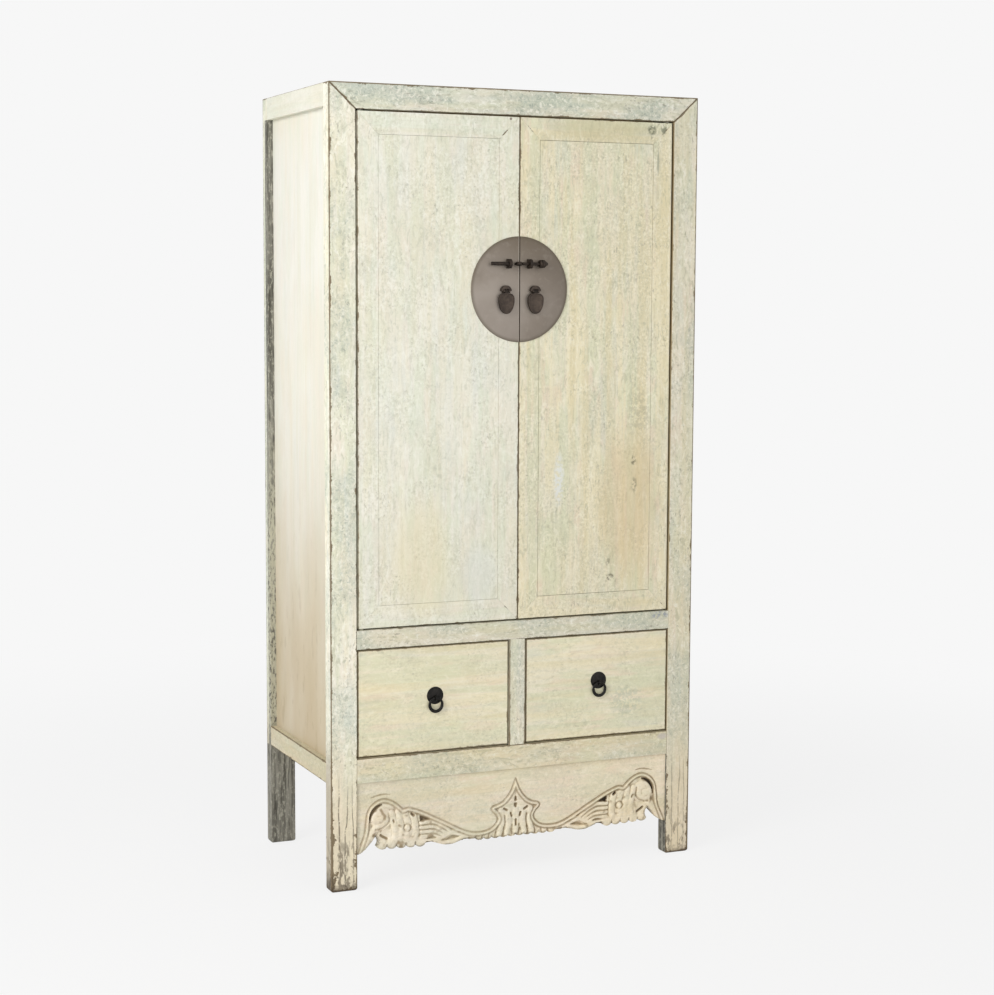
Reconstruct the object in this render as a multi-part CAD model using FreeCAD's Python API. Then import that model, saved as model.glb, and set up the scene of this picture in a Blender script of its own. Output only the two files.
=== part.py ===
"""Two-door cabinet on straight legs, with a round split lock plate, two drawers and a carved apron.

X runs to the right, Y to the back and Z up, in millimetres. The origin is on the floor,
in the middle of the cabinet's whole box with its fittings.
"""
import FreeCAD, Part
import math
import os

# Overall frame
CABINET_WIDTH = 960.0
CABINET_DEPTH = 512.0
CABINET_HEIGHT = 1900.0
LEG_HEIGHT = 259.0

# Frame members
POST_WIDTH = 65.0
FRONT_POST_DEPTH = 40.0
REAR_POST_DEPTH = 34.0
TOP_RAIL_HEIGHT = 60.0
SIDE_TOP_RAIL_HEIGHT = 54.0
SIDE_RAIL_THICKNESS = 40.0
MIDDLE_RAIL_HEIGHT = 45.5
REAR_MIDDLE_RAIL_DEPTH = 26.0
BOTTOM_RAIL_HEIGHT = 60.0
SIDE_BOTTOM_RAIL_HEIGHT = 50.0
DRAWER_OPENING_HEIGHT = 262.0
DIVIDER_WIDTH = 42.0

# Panels and boards of the case
TOP_PANEL_THICKNESS = 14.0
TOP_PANEL_LAP = 10.0
SIDE_PANEL_THICKNESS = 10.0
SIDE_PANEL_RECESS = 16.0
PANEL_TONGUE = 8.0
GROOVE_SPARE = 2.0
BACK_BOARD_THICKNESS = 10.0
BACK_BOARD_RECESS = 8.0
BACK_BOARD_COUNT = 5
BACK_BOARD_GAP = 0.6
FLOOR_THICKNESS = 15.0
FLOOR_LAP = 10.0
SHELF_HEIGHT = 1215.0
SHELF_THICKNESS = 18.0
SHELF_SETBACK = 70.0
BEARER_HEIGHT = 30.0
BEARER_WIDTH = 24.0
LOOSE_BOARD_CLEARANCE = 0.5

# Carved apron
APRON_THICKNESS = 18.0
APRON_RECESS = 6.0
APRON_RELIEF = 3.0
APRON_FOOT_DROP = 174.0
APRON_EDGE_DROP = 158.0
NOTCH_WIDTH = 50.0
NOTCH_DROP = 132.0
NOTCH_LIP = 8.0
LOBE_COUNT = 6
LOBE_DEPTH = 8.0
CREST_DROP = 24.0
CREST_SHOULDER_HALF = 61.0
CREST_SHOULDER_DROP = 91.0
CREST_NECK_HALF = 44.0
CREST_NECK_DROP = 116.0
CREST_BASE_HALF = 54.0
CREST_BASE_LIFT = 4.0

# Doors
DOOR_THICKNESS = 22.0
DOOR_RECESS = 2.0
DOOR_GAP = 4.0
SEAM_GAP = 2.0
DOOR_FRAME_WIDTH = 52.0
DOOR_PANEL_THICKNESS = 12.0
DOOR_PANEL_LINE = 1.0
DOOR_TONGUE_THICKNESS = 5.0
BATTEN_WIDTH = 44.0
BATTEN_COUNT = 3
PIVOT_INSET = 11.0
PIVOT_RADIUS = 7.0
PIVOT_ENGAGEMENT = 16.0
PIVOT_LIFT_SPARE = 4.0
PIVOT_FOOT_GAP = 0.3
RUNNING_CLEARANCE = 0.08
HINGE_EDGE_RADIUS = 4.0
STOP_HEIGHT = 14.0
STOP_END_SETBACK = 30.0
STOP_GAP = 0.5

# Round lock plate and its fittings
PLATE_RADIUS = 126.0
PLATE_THICKNESS = 2.5
PLATE_CENTRE_HEIGHT = 1428.5
PIN_RISE = 61.0
PIN_STANDOFF = 11.3
PIN_RADIUS = 3.4
PIN_HEAD_RADIUS = 9.5
PIN_HEAD_GAP = 20.0
PIN_HEAD_LENGTH = 22.5
PIN_HEAD_POINT_RADIUS = 2.5
PIN_HEAD_BARREL = 13.0
LUG_WIDTH = 7.0
LUG_RADIUS = 11.2
GUIDE_CENTRE = 22.6
KEEPER_CENTRE = 31.5
KEEPER_TAIL_RADIUS = 4.4
KEEPER_TAIL_LENGTH = 46.7
SOCKET_RADIUS = 4.8
SOCKET_LENGTH = 12.0
SOCKET_BORE_DEPTH = 10.5
SOCKET_FOOT_HEIGHT = 6.0
SOCKET_CLEARANCE = 0.4
SHANK_RADIUS = 3.0
RIVET_RADIUS = 6.5
RIVET_THICKNESS = 1.5

# Drop pulls on the lock plate
PULL_CENTRE = 38.3
PULL_PIVOT_DROP = 4.1
PULL_PIVOT_STANDOFF = 9.0
PULL_ARCH_RADIUS = 13.5
PULL_ARCH_DEPTH = 10.5
PULL_ARCH_SLOT_RISE = 4.6
PULL_HEAD_THICKNESS = 2.0
PULL_EAR_RADIUS = 4.2
PULL_EAR_WIDTH = 4.0
PULL_TAB_WIDTH = 9.0
PULL_TAB_GAP = 0.4
PULL_PIN_RADIUS = 2.0
PULL_THICKNESS = 7.0
PULL_WIDTH = 42.0
PULL_LENGTH = 54.5
PULL_TIP_LENGTH = 33.5
PULL_CROWN_LENGTH = 18.5

# Drawers
DRAWER_FRONT_THICKNESS = 20.0
DRAWER_RECESS = 2.0
DRAWER_GAP = 3.0
DRAWER_BOX_DEPTH = 400.0
DRAWER_SIDE_INSET = 4.0
DRAWER_SIDE_THICKNESS = 14.0
DRAWER_SIDE_HEIGHT = 215.0
DRAWER_BACK_THICKNESS = 12.0
DRAWER_BACK_DROP = 15.0
DRAWER_BOTTOM_THICKNESS = 8.0
DRAWER_BOTTOM_LIFT = 10.0
DRAWER_BOTTOM_TONGUE = 6.0
RUNNER_HEIGHT = 30.0
RUNNER_WIDTH = 36.0
GUIDE_HEIGHT = 30.0
GUIDE_GAP = 2.0

# Ring pulls on the drawers
RING_PLATE_RADIUS = 21.3
RING_PLATE_DOME = 3.0
EYE_DROP = 5.2
EYE_STANDOFF = 6.2
EYE_RADIUS = 5.8
EYE_WIDTH = 5.0
RING_OUTER_RADIUS = 19.7
RING_WIRE_RADIUS = 2.75
RING_EYE_CLEARANCE = 0.8
EYE_SHANK_RADIUS = 3.0
EYE_TAIL_LENGTH = 26.0
EYE_TAIL_WIDTH = 6.0
EYE_TAIL_THICKNESS = 1.5

# The pulls were fitted by eye: how far each sits right of and above the middle of its drawer front
LEFT_RING_SHIFT = (2.2, 7.2)
RIGHT_RING_SHIFT = (3.4, 12.6)

# Levels, from the floor up
DRAWER_FLOOR = LEG_HEIGHT + BOTTOM_RAIL_HEIGHT
DRAWER_CEILING = DRAWER_FLOOR + DRAWER_OPENING_HEIGHT
DOOR_SILL = DRAWER_CEILING + MIDDLE_RAIL_HEIGHT
DOOR_HEAD = CABINET_HEIGHT - TOP_RAIL_HEIGHT
PIN_HEIGHT = PLATE_CENTRE_HEIGHT + PIN_RISE
PULL_PIVOT_HEIGHT = PLATE_CENTRE_HEIGHT - PULL_PIVOT_DROP

# Places across the width
HALF_WIDTH = CABINET_WIDTH / 2
OPENING_HALF = HALF_WIDTH - POST_WIDTH
DIVIDER_HALF = DIVIDER_WIDTH / 2
SIDE_PANEL_OUTER = HALF_WIDTH - SIDE_PANEL_RECESS
SIDE_PANEL_INNER = SIDE_PANEL_OUTER - SIDE_PANEL_THICKNESS
DOOR_OUTER = OPENING_HALF - DOOR_GAP
DOOR_INNER = SEAM_GAP / 2
PIVOT_X = DOOR_OUTER - PIVOT_INSET

# The furthest fitting sets where the front of the frame lies in the box
LOCK_PROUD = PLATE_THICKNESS + PIN_STANDOFF + LUG_RADIUS - DOOR_RECESS
DROP_PROUD = PLATE_THICKNESS + max(PULL_PIVOT_STANDOFF + PULL_EAR_RADIUS, PULL_ARCH_DEPTH) - DOOR_RECESS
EYE_PROUD = EYE_STANDOFF + EYE_RADIUS - DRAWER_RECESS
FITTINGS_PROUD = max(LOCK_PROUD, DROP_PROUD, EYE_PROUD)

# Places through the depth
FRONT = (FITTINGS_PROUD - CABINET_DEPTH) / 2
BACK = FRONT + CABINET_DEPTH
FRONT_POST_BACK = FRONT + FRONT_POST_DEPTH
REAR_POST_FRONT = BACK - REAR_POST_DEPTH
BACK_BOARD_FRONT = BACK - BACK_BOARD_RECESS - BACK_BOARD_THICKNESS
REAR_MIDDLE_FRONT = BACK_BOARD_FRONT - REAR_MIDDLE_RAIL_DEPTH
DOOR_FACE = FRONT + DOOR_RECESS
DOOR_BACK = DOOR_FACE + DOOR_THICKNESS
PIVOT_Y = DOOR_FACE + DOOR_THICKNESS / 2
PLATE_FACE = DOOR_FACE - PLATE_THICKNESS
PIN_Y = PLATE_FACE - PIN_STANDOFF
PULL_PIVOT_Y = PLATE_FACE - PULL_PIVOT_STANDOFF
DRAWER_FACE = FRONT + DRAWER_RECESS
DRAWER_FRONT_BACK = DRAWER_FACE + DRAWER_FRONT_THICKNESS
EYE_Y = DRAWER_FACE - EYE_STANDOFF

V = FreeCAD.Vector
ALONG_X = V(1, 0, 0)
ALONG_Y = V(0, 1, 0)
ALONG_Z = V(0, 0, 1)


def block(x0, x1, y0, y1, z0, z1):
    """A square-edged board between two corners."""
    return Part.makeBox(x1 - x0, y1 - y0, z1 - z0, V(x0, y0, z0))


def rod(radius, start, direction, length):
    """A round bar."""
    return Part.makeCylinder(radius, length, start, direction)


def plank(points, y0, y1):
    """A board cut to an outline of X and Z points."""
    corners = [V(x, y0, z) for x, z in points]
    outline = Part.makePolygon(corners + corners[:1])
    return Part.Face(outline).extrude(V(0, y1 - y0, 0))


def turned(profile, start, direction):
    """A turned solid: the profile lists (distance along the axis, radius)."""
    points = [V(radius, 0, along) for along, radius in profile]
    first = V(0, 0, profile[0][0])
    last = V(0, 0, profile[-1][0])
    outline = Part.makePolygon([first] + points + [last, first])
    solid = Part.Face(outline).revolve(V(0, 0, 0), ALONG_Z, 360)
    solid.Placement = FreeCAD.Placement(start, FreeCAD.Rotation(ALONG_Z, direction))
    return solid


def mirrored(shape):
    """The same piece for the other side."""
    return shape.mirror(V(0, 0, 0), ALONG_X)


def joined(first, *others):
    """One solid from overlapping or touching forms."""
    return first.fuse(list(others)).removeSplitter()


def save(name, *solids):
    """Writes one node; a group keeps its solids apart."""
    shape = solids[0] if len(solids) == 1 else Part.makeCompound(list(solids))
    shape.exportStep(os.path.join("parts", name + ".step"))


def save_pair(name, left):
    """Writes a left-hand piece and its mirrored right-hand one."""
    save(name.format("left"), left)
    save(name.format("right"), mirrored(left))


def side_panel_space(spare):
    """The left side panel with its tongues, and spare room at the groove bottoms."""
    reach = PANEL_TONGUE + spare
    return block(
        -SIDE_PANEL_OUTER, -SIDE_PANEL_INNER,
        FRONT_POST_BACK - reach, REAR_POST_FRONT + reach,
        LEG_HEIGHT + SIDE_BOTTOM_RAIL_HEIGHT - reach,
        CABINET_HEIGHT - SIDE_TOP_RAIL_HEIGHT + reach,
    )


def back_board_space(spare):
    """All the back boards together, with spare room at the groove bottoms."""
    reach = PANEL_TONGUE + spare
    return block(
        -OPENING_HALF - reach, OPENING_HALF + reach,
        BACK_BOARD_FRONT, BACK_BOARD_FRONT + BACK_BOARD_THICKNESS,
        LEG_HEIGHT + SIDE_BOTTOM_RAIL_HEIGHT - reach, DOOR_HEAD + reach,
    )


def top_panel():
    """The top board, let in flush with the top rails."""
    return block(
        -HALF_WIDTH + SIDE_RAIL_THICKNESS - TOP_PANEL_LAP,
        HALF_WIDTH - SIDE_RAIL_THICKNESS + TOP_PANEL_LAP,
        FRONT_POST_BACK - TOP_PANEL_LAP, REAR_POST_FRONT + TOP_PANEL_LAP,
        CABINET_HEIGHT - TOP_PANEL_THICKNESS, CABINET_HEIGHT,
    )


def post(y0, y1):
    """A left post, mitred to the top rail and grooved for its panels."""
    outline = [
        (-HALF_WIDTH, 0), (-OPENING_HALF, 0),
        (-OPENING_HALF, DOOR_HEAD), (-HALF_WIDTH, CABINET_HEIGHT),
    ]
    body = plank(outline, y0, y1)
    return body.cut([side_panel_space(GROOVE_SPARE), back_board_space(GROOVE_SPARE)])


def mitred_top_rail(y0, y1):
    """A top rail across the front or the back, mitred to both posts."""
    outline = [
        (-HALF_WIDTH, CABINET_HEIGHT), (-OPENING_HALF, DOOR_HEAD),
        (OPENING_HALF, DOOR_HEAD), (HALF_WIDTH, CABINET_HEIGHT),
    ]
    return plank(outline, y0, y1).cut(top_panel())


def pivot_bores():
    """The blind sockets above and below the doors that take the door pivots."""
    radius = PIVOT_RADIUS + RUNNING_CLEARANCE
    head_depth = PIVOT_ENGAGEMENT + PIVOT_LIFT_SPARE
    foot_depth = PIVOT_ENGAGEMENT + PIVOT_FOOT_GAP
    bores = []
    for x in (-PIVOT_X, PIVOT_X):
        bores.append(rod(radius, V(x, PIVOT_Y, DOOR_HEAD), ALONG_Z, head_depth))
        bores.append(rod(radius, V(x, PIVOT_Y, DOOR_SILL - foot_depth), ALONG_Z, foot_depth))
    return bores


def build_frame():
    """Posts, rails and the divider."""
    save_pair("post_front_{}", post(FRONT, FRONT_POST_BACK))
    save_pair("post_rear_{}", post(REAR_POST_FRONT, BACK))

    save("rail_top_front", mitred_top_rail(FRONT, FRONT_POST_BACK).cut(pivot_bores()))
    save("rail_top_rear", mitred_top_rail(REAR_POST_FRONT, BACK).cut(back_board_space(GROOVE_SPARE)))
    side_top = block(
        -HALF_WIDTH, -HALF_WIDTH + SIDE_RAIL_THICKNESS, FRONT_POST_BACK, REAR_POST_FRONT,
        CABINET_HEIGHT - SIDE_TOP_RAIL_HEIGHT, CABINET_HEIGHT,
    )
    save_pair("rail_top_{}", side_top.cut([top_panel(), side_panel_space(GROOVE_SPARE)]))

    middle_front = block(
        -OPENING_HALF, OPENING_HALF, FRONT, FRONT_POST_BACK, DRAWER_CEILING, DOOR_SILL
    )
    save("rail_middle_front", middle_front.cut([compartment_floor()] + pivot_bores()))
    middle_rear = block(
        -OPENING_HALF, OPENING_HALF, REAR_MIDDLE_FRONT, BACK_BOARD_FRONT, DRAWER_CEILING, DOOR_SILL
    )
    save("rail_middle_rear", middle_rear.cut(compartment_floor()))

    save("rail_bottom_front", block(
        -OPENING_HALF, OPENING_HALF, FRONT, FRONT_POST_BACK, LEG_HEIGHT, DRAWER_FLOOR
    ))
    bottom_rear = block(
        -OPENING_HALF, OPENING_HALF, REAR_POST_FRONT, BACK,
        LEG_HEIGHT, LEG_HEIGHT + SIDE_BOTTOM_RAIL_HEIGHT,
    )
    save("rail_bottom_rear", bottom_rear.cut(back_board_space(GROOVE_SPARE)))
    side_bottom = block(
        -HALF_WIDTH, -HALF_WIDTH + SIDE_RAIL_THICKNESS, FRONT_POST_BACK, REAR_POST_FRONT,
        LEG_HEIGHT, LEG_HEIGHT + SIDE_BOTTOM_RAIL_HEIGHT,
    )
    save_pair("rail_bottom_{}", side_bottom.cut(side_panel_space(GROOVE_SPARE)))

    save("drawer_divider", block(
        -DIVIDER_HALF, DIVIDER_HALF, FRONT, FRONT_POST_BACK, DRAWER_FLOOR, DRAWER_CEILING
    ))


def build_panels():
    """The top, side panels and back boards."""
    save("top_panel", top_panel())
    save_pair("side_panel_{}", side_panel_space(0))

    whole = back_board_space(0).BoundBox
    pitch = (whole.XLength + BACK_BOARD_GAP) / BACK_BOARD_COUNT
    boards = []
    for index in range(BACK_BOARD_COUNT):
        left = whole.XMin + index * pitch
        boards.append(block(
            left, left + pitch - BACK_BOARD_GAP, whole.YMin, whole.YMax, whole.ZMin, whole.ZMax
        ))
    save("back_boards", *boards)


def compartment_floor():
    """The floor behind the doors, lapped into the middle rails and notched round the posts."""
    half = SIDE_PANEL_INNER - LOOSE_BOARD_CLEARANCE
    bottom = DOOR_SILL - FLOOR_THICKNESS
    between_posts = block(-half, half, FRONT_POST_BACK, REAR_MIDDLE_FRONT, bottom, DOOR_SILL)
    laps = block(
        -OPENING_HALF, OPENING_HALF, FRONT_POST_BACK - FLOOR_LAP,
        REAR_MIDDLE_FRONT + FLOOR_LAP, bottom, DOOR_SILL,
    )
    return joined(between_posts, laps)


def build_inside():
    """The compartment floor, the shelf on its bearers, the door stops and the drawer runners."""
    save("compartment_floor", compartment_floor())

    half = SIDE_PANEL_INNER - LOOSE_BOARD_CLEARANCE
    shelf_front = FRONT + SHELF_SETBACK
    save("shelf", block(
        -half, half, shelf_front, REAR_POST_FRONT - LOOSE_BOARD_CLEARANCE,
        SHELF_HEIGHT, SHELF_HEIGHT + SHELF_THICKNESS,
    ))
    bearer = block(
        -SIDE_PANEL_INNER, -SIDE_PANEL_INNER + BEARER_WIDTH, FRONT_POST_BACK, REAR_POST_FRONT,
        SHELF_HEIGHT - BEARER_HEIGHT, SHELF_HEIGHT,
    )
    save("shelf_bearers", bearer, mirrored(bearer))

    stop_half = PIVOT_X - STOP_END_SETBACK
    stop_y0 = DOOR_BACK + STOP_GAP
    save(
        "door_stops",
        block(-stop_half, stop_half, stop_y0, FRONT_POST_BACK, DOOR_HEAD - STOP_HEIGHT, DOOR_HEAD),
        block(-stop_half, stop_half, stop_y0, FRONT_POST_BACK, DOOR_SILL, DOOR_SILL + STOP_HEIGHT),
    )

    outer_wall = OPENING_HALF - DRAWER_GAP - DRAWER_SIDE_INSET
    inner_wall = DIVIDER_HALF + DRAWER_GAP + DRAWER_SIDE_INSET
    runner_bottom = DRAWER_FLOOR - RUNNER_HEIGHT
    side_runner = joined(
        block(-OPENING_HALF, -OPENING_HALF + RUNNER_WIDTH, FRONT_POST_BACK, REAR_POST_FRONT,
              runner_bottom, DRAWER_FLOOR),
        block(-HALF_WIDTH + SIDE_RAIL_THICKNESS, -outer_wall - GUIDE_GAP, FRONT_POST_BACK, REAR_POST_FRONT,
              runner_bottom, DRAWER_FLOOR + GUIDE_HEIGHT),
    )
    middle_half = inner_wall + RUNNER_WIDTH / 2
    middle_runner = joined(
        block(-middle_half, middle_half, FRONT_POST_BACK, REAR_POST_FRONT, runner_bottom, DRAWER_FLOOR),
        block(-inner_wall + GUIDE_GAP, inner_wall - GUIDE_GAP, FRONT_POST_BACK, REAR_POST_FRONT,
              runner_bottom, DRAWER_FLOOR + GUIDE_HEIGHT),
    )
    save("drawer_runners", side_runner, middle_runner, mirrored(side_runner))


def apron_edge():
    """The apron's left outline from the foot of the post to the middle, as joined edges."""
    foot = LEG_HEIGHT - APRON_FOOT_DROP
    edge = LEG_HEIGHT - APRON_EDGE_DROP
    notch = LEG_HEIGHT - NOTCH_DROP
    notch_x = -OPENING_HALF + NOTCH_WIDTH
    lip_x = notch_x + NOTCH_LIP
    lobe = -lip_x / LOBE_COUNT
    foot_point = V(-OPENING_HALF, 0, foot)
    notch_point = V(notch_x, 0, notch)
    bow = V((notch_x - OPENING_HALF) / 2 - NOTCH_LIP / 2, 0, (foot + notch) / 2 + NOTCH_LIP / 2)
    edges = [
        Part.Arc(foot_point, bow, notch_point).toShape(),
        Part.makeLine(notch_point, V(lip_x, 0, edge)),
    ]
    for index in range(LOBE_COUNT):
        start = lip_x + index * lobe
        crown = V(start + lobe / 2, 0, edge - LOBE_DEPTH)
        edges.append(Part.Arc(V(start, 0, edge), crown, V(start + lobe, 0, edge)).toShape())
    return edges


def build_apron():
    """The shaped apron under the front rail, with its raised pointed crest in the middle."""
    foot = LEG_HEIGHT - APRON_FOOT_DROP
    left = apron_edge()
    right = [edge.mirror(V(0, 0, 0), ALONG_X) for edge in left]
    top = Part.makePolygon([
        V(-OPENING_HALF, 0, foot), V(-OPENING_HALF, 0, LEG_HEIGHT),
        V(OPENING_HALF, 0, LEG_HEIGHT), V(OPENING_HALF, 0, foot),
    ])
    outline = Part.Wire(Part.__sortEdges__(left + right + top.Edges))
    board = Part.Face(outline).extrude(V(0, APRON_THICKNESS, 0))
    board.translate(V(0, FRONT + APRON_RECESS, 0))

    shoulder = LEG_HEIGHT - CREST_SHOULDER_DROP
    neck = LEG_HEIGHT - CREST_NECK_DROP
    base = LEG_HEIGHT - APRON_EDGE_DROP + CREST_BASE_LIFT
    crest_left = [
        (-CREST_BASE_HALF, base), (-CREST_NECK_HALF, neck), (-CREST_SHOULDER_HALF, shoulder),
    ]
    crest_right = [(-x, z) for x, z in reversed(crest_left)]
    crest = plank(
        crest_left + [(0, LEG_HEIGHT - CREST_DROP)] + crest_right,
        FRONT + APRON_RECESS - APRON_RELIEF, FRONT + APRON_RECESS + APRON_RELIEF,
    )
    save("apron", joined(board, crest))


def stile(x_outer, x_inner):
    """A door stile between two X places, mitred at both ends along its inner edge."""
    bottom = DOOR_SILL + DOOR_GAP
    top = DOOR_HEAD - DOOR_GAP
    outline = [
        (x_outer, bottom), (x_inner, bottom + DOOR_FRAME_WIDTH),
        (x_inner, top - DOOR_FRAME_WIDTH), (x_outer, top),
    ]
    return plank(outline, DOOR_FACE, DOOR_BACK)


def door_rail(edge_z, inner_z):
    """A door rail between two Z places, mitred at both ends."""
    outline = [
        (-DOOR_OUTER, edge_z), (-DOOR_OUTER + DOOR_FRAME_WIDTH, inner_z),
        (-DOOR_INNER - DOOR_FRAME_WIDTH, inner_z), (-DOOR_INNER, edge_z),
    ]
    return plank(outline, DOOR_FACE, DOOR_BACK)


def door_panel_space(reach, y0, y1):
    """The left door's panel opening, grown outwards by a reach."""
    return block(
        -DOOR_OUTER + DOOR_FRAME_WIDTH - reach, -DOOR_INNER - DOOR_FRAME_WIDTH + reach, y0, y1,
        DOOR_SILL + DOOR_GAP + DOOR_FRAME_WIDTH - reach,
        DOOR_HEAD - DOOR_GAP - DOOR_FRAME_WIDTH + reach,
    )


def shank_rod(x, z):
    """The straight part of a fitting's shank, right through the left plate and stile."""
    return rod(SHANK_RADIUS, V(-x, PLATE_FACE, z), ALONG_Y, PLATE_THICKNESS + DOOR_THICKNESS)


def door_pivots():
    """The left leaf's round pivots, from well inside the hinge stile to their ends."""
    reach = DOOR_GAP + PIVOT_ENGAGEMENT
    length = DOOR_FRAME_WIDTH + reach
    upper = V(-PIVOT_X, PIVOT_Y, DOOR_HEAD - DOOR_GAP - DOOR_FRAME_WIDTH)
    lower = V(-PIVOT_X, PIVOT_Y, DOOR_SILL + DOOR_GAP - reach)
    return [rod(PIVOT_RADIUS, start, ALONG_Z, length) for start in (upper, lower)]


def hinge_edge_waste():
    """What is planed off the left leaf's front hinge edge, to round it for the swing."""
    bottom = DOOR_SILL + DOOR_GAP
    top = DOOR_HEAD - DOOR_GAP
    corner = block(
        -DOOR_OUTER, -DOOR_OUTER + HINGE_EDGE_RADIUS, DOOR_FACE, DOOR_FACE + HINGE_EDGE_RADIUS, bottom, top
    )
    round_centre = V(-DOOR_OUTER + HINGE_EDGE_RADIUS, DOOR_FACE + HINGE_EDGE_RADIUS, bottom)
    return corner.cut(rod(HINGE_EDGE_RADIUS, round_centre, ALONG_Z, top - bottom))


def hinge_stile(groove):
    """The outer stile, with the round pivots that it turns on cut from its own ends."""
    body = stile(-DOOR_OUTER, -DOOR_OUTER + DOOR_FRAME_WIDTH).cut([groove, hinge_edge_waste()])
    return joined(body, *door_pivots())


def build_doors():
    """Both door leaves: mitred frames, flush panels and the battens behind them."""
    bottom = DOOR_SILL + DOOR_GAP
    top = DOOR_HEAD - DOOR_GAP
    tongue_y0 = DOOR_FACE + DOOR_PANEL_THICKNESS - DOOR_TONGUE_THICKNESS
    tongue_y1 = DOOR_FACE + DOOR_PANEL_THICKNESS
    groove = door_panel_space(PANEL_TONGUE + GROOVE_SPARE, tongue_y0, tongue_y1)

    save_pair("door_{}_hinge_stile", hinge_stile(groove))
    meeting = stile(-DOOR_INNER, -DOOR_INNER - DOOR_FRAME_WIDTH).cut(groove)
    pull_hole = shank_rod(PULL_CENTRE, PULL_PIVOT_HEIGHT)
    keeper_holes = [shank_rod(x, PIN_HEIGHT) for x in (KEEPER_CENTRE, socket_centre())]
    save("door_left_meeting_stile", meeting.cut([pull_hole] + keeper_holes))
    guide_hole = shank_rod(GUIDE_CENTRE, PIN_HEIGHT)
    save("door_right_meeting_stile", mirrored(meeting.cut([pull_hole, guide_hole])))
    rail_cuts = [groove, hinge_edge_waste()] + door_pivots()
    save_pair("door_{}_top_rail", door_rail(top, top - DOOR_FRAME_WIDTH).cut(rail_cuts))
    save_pair("door_{}_bottom_rail", door_rail(bottom, bottom + DOOR_FRAME_WIDTH).cut(rail_cuts))

    face = door_panel_space(-DOOR_PANEL_LINE, DOOR_FACE, tongue_y1)
    tongue = door_panel_space(PANEL_TONGUE, tongue_y0, tongue_y1)
    save_pair("door_{}_panel", joined(face, tongue))

    space = door_panel_space(0, tongue_y1, DOOR_BACK)
    battens = []
    pitch = space.BoundBox.ZLength / (BATTEN_COUNT + 1)
    for index in range(BATTEN_COUNT):
        middle = space.BoundBox.ZMin + pitch * (index + 1)
        battens.append(space.common(block(
            -DOOR_OUTER, -DOOR_INNER, tongue_y1, DOOR_BACK,
            middle - BATTEN_WIDTH / 2, middle + BATTEN_WIDTH / 2,
        )))
    save("door_left_battens", *battens)
    save("door_right_battens", *[mirrored(batten) for batten in battens])


def socket_centre():
    """How far the middle of the pin's socket is from the middle of the cabinet."""
    return DOOR_INNER + SOCKET_LENGTH / 2


def half_plate(*fitting_places):
    """The left half of the round lock plate, with the holes for its fittings."""
    disc = rod(PLATE_RADIUS, V(0, PLATE_FACE, PLATE_CENTRE_HEIGHT), ALONG_Y, PLATE_THICKNESS)
    keep = block(
        -PLATE_RADIUS, -DOOR_INNER, PLATE_FACE, DOOR_FACE,
        PLATE_CENTRE_HEIGHT - PLATE_RADIUS, PLATE_CENTRE_HEIGHT + PLATE_RADIUS,
    )
    holes = [shank_rod(PULL_CENTRE, PULL_PIVOT_HEIGHT)]
    holes += [shank_rod(x, PIN_HEIGHT) for x in fitting_places]
    return disc.common(keep).cut(holes)


def shank(x, z):
    """A riveted shank from the left plate's face to the back of the stile."""
    rivet = rod(RIVET_RADIUS, V(-x, DOOR_BACK, z), ALONG_Y, RIVET_THICKNESS)
    return joined(shank_rod(x, z), rivet)


def lug(x):
    """A round-nosed lug standing on the left plate, about the pin's axis."""
    x0 = -x - LUG_WIDTH / 2
    foot = block(x0, x0 + LUG_WIDTH, PIN_Y, PLATE_FACE, PIN_HEIGHT - LUG_RADIUS, PIN_HEIGHT + LUG_RADIUS)
    nose = rod(LUG_RADIUS, V(x0, PIN_Y, PIN_HEIGHT), ALONG_X, LUG_WIDTH)
    return joined(foot, nose, shank(x, PIN_HEIGHT))


def build_lock():
    """The split round plate, the lug and socket on the left leaf, and the guide and pin on the right."""
    save("lock_plate_left", half_plate(KEEPER_CENTRE, socket_centre()))
    save("lock_plate_right", mirrored(half_plate(GUIDE_CENTRE)))

    tail = rod(KEEPER_TAIL_RADIUS, V(-KEEPER_CENTRE, PIN_Y, PIN_HEIGHT), -ALONG_X, KEEPER_TAIL_LENGTH)
    mouth = V(-DOOR_INNER, PIN_Y, PIN_HEIGHT)
    tube = rod(SOCKET_RADIUS, mouth, -ALONG_X, SOCKET_LENGTH)
    foot = block(
        -DOOR_INNER - SOCKET_LENGTH, -DOOR_INNER, PIN_Y, PLATE_FACE,
        PIN_HEIGHT - SOCKET_FOOT_HEIGHT / 2, PIN_HEIGHT + SOCKET_FOOT_HEIGHT / 2,
    )
    bore = rod(PIN_RADIUS + SOCKET_CLEARANCE, mouth, -ALONG_X, SOCKET_BORE_DEPTH)
    socket = joined(tube, foot, shank(socket_centre(), PIN_HEIGHT)).cut(bore)
    save("lock_keeper", joined(lug(KEEPER_CENTRE), tail), socket)

    guide_bore = rod(PIN_RADIUS + RUNNING_CLEARANCE, V(-GUIDE_CENTRE - LUG_WIDTH / 2, PIN_Y, PIN_HEIGHT),
                     ALONG_X, LUG_WIDTH)
    save("lock_guide", mirrored(lug(GUIDE_CENTRE).cut(guide_bore)))

    tip = DOOR_INNER
    head = GUIDE_CENTRE + LUG_WIDTH / 2 + PIN_HEAD_GAP
    profile = [
        (tip, PIN_RADIUS), (head, PIN_RADIUS), (head, PIN_HEAD_RADIUS),
        (head + PIN_HEAD_BARREL, PIN_HEAD_RADIUS), (head + PIN_HEAD_LENGTH, PIN_HEAD_POINT_RADIUS),
    ]
    save("lock_pin", turned(profile, V(0, PIN_Y, PIN_HEIGHT), ALONG_X))


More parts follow.
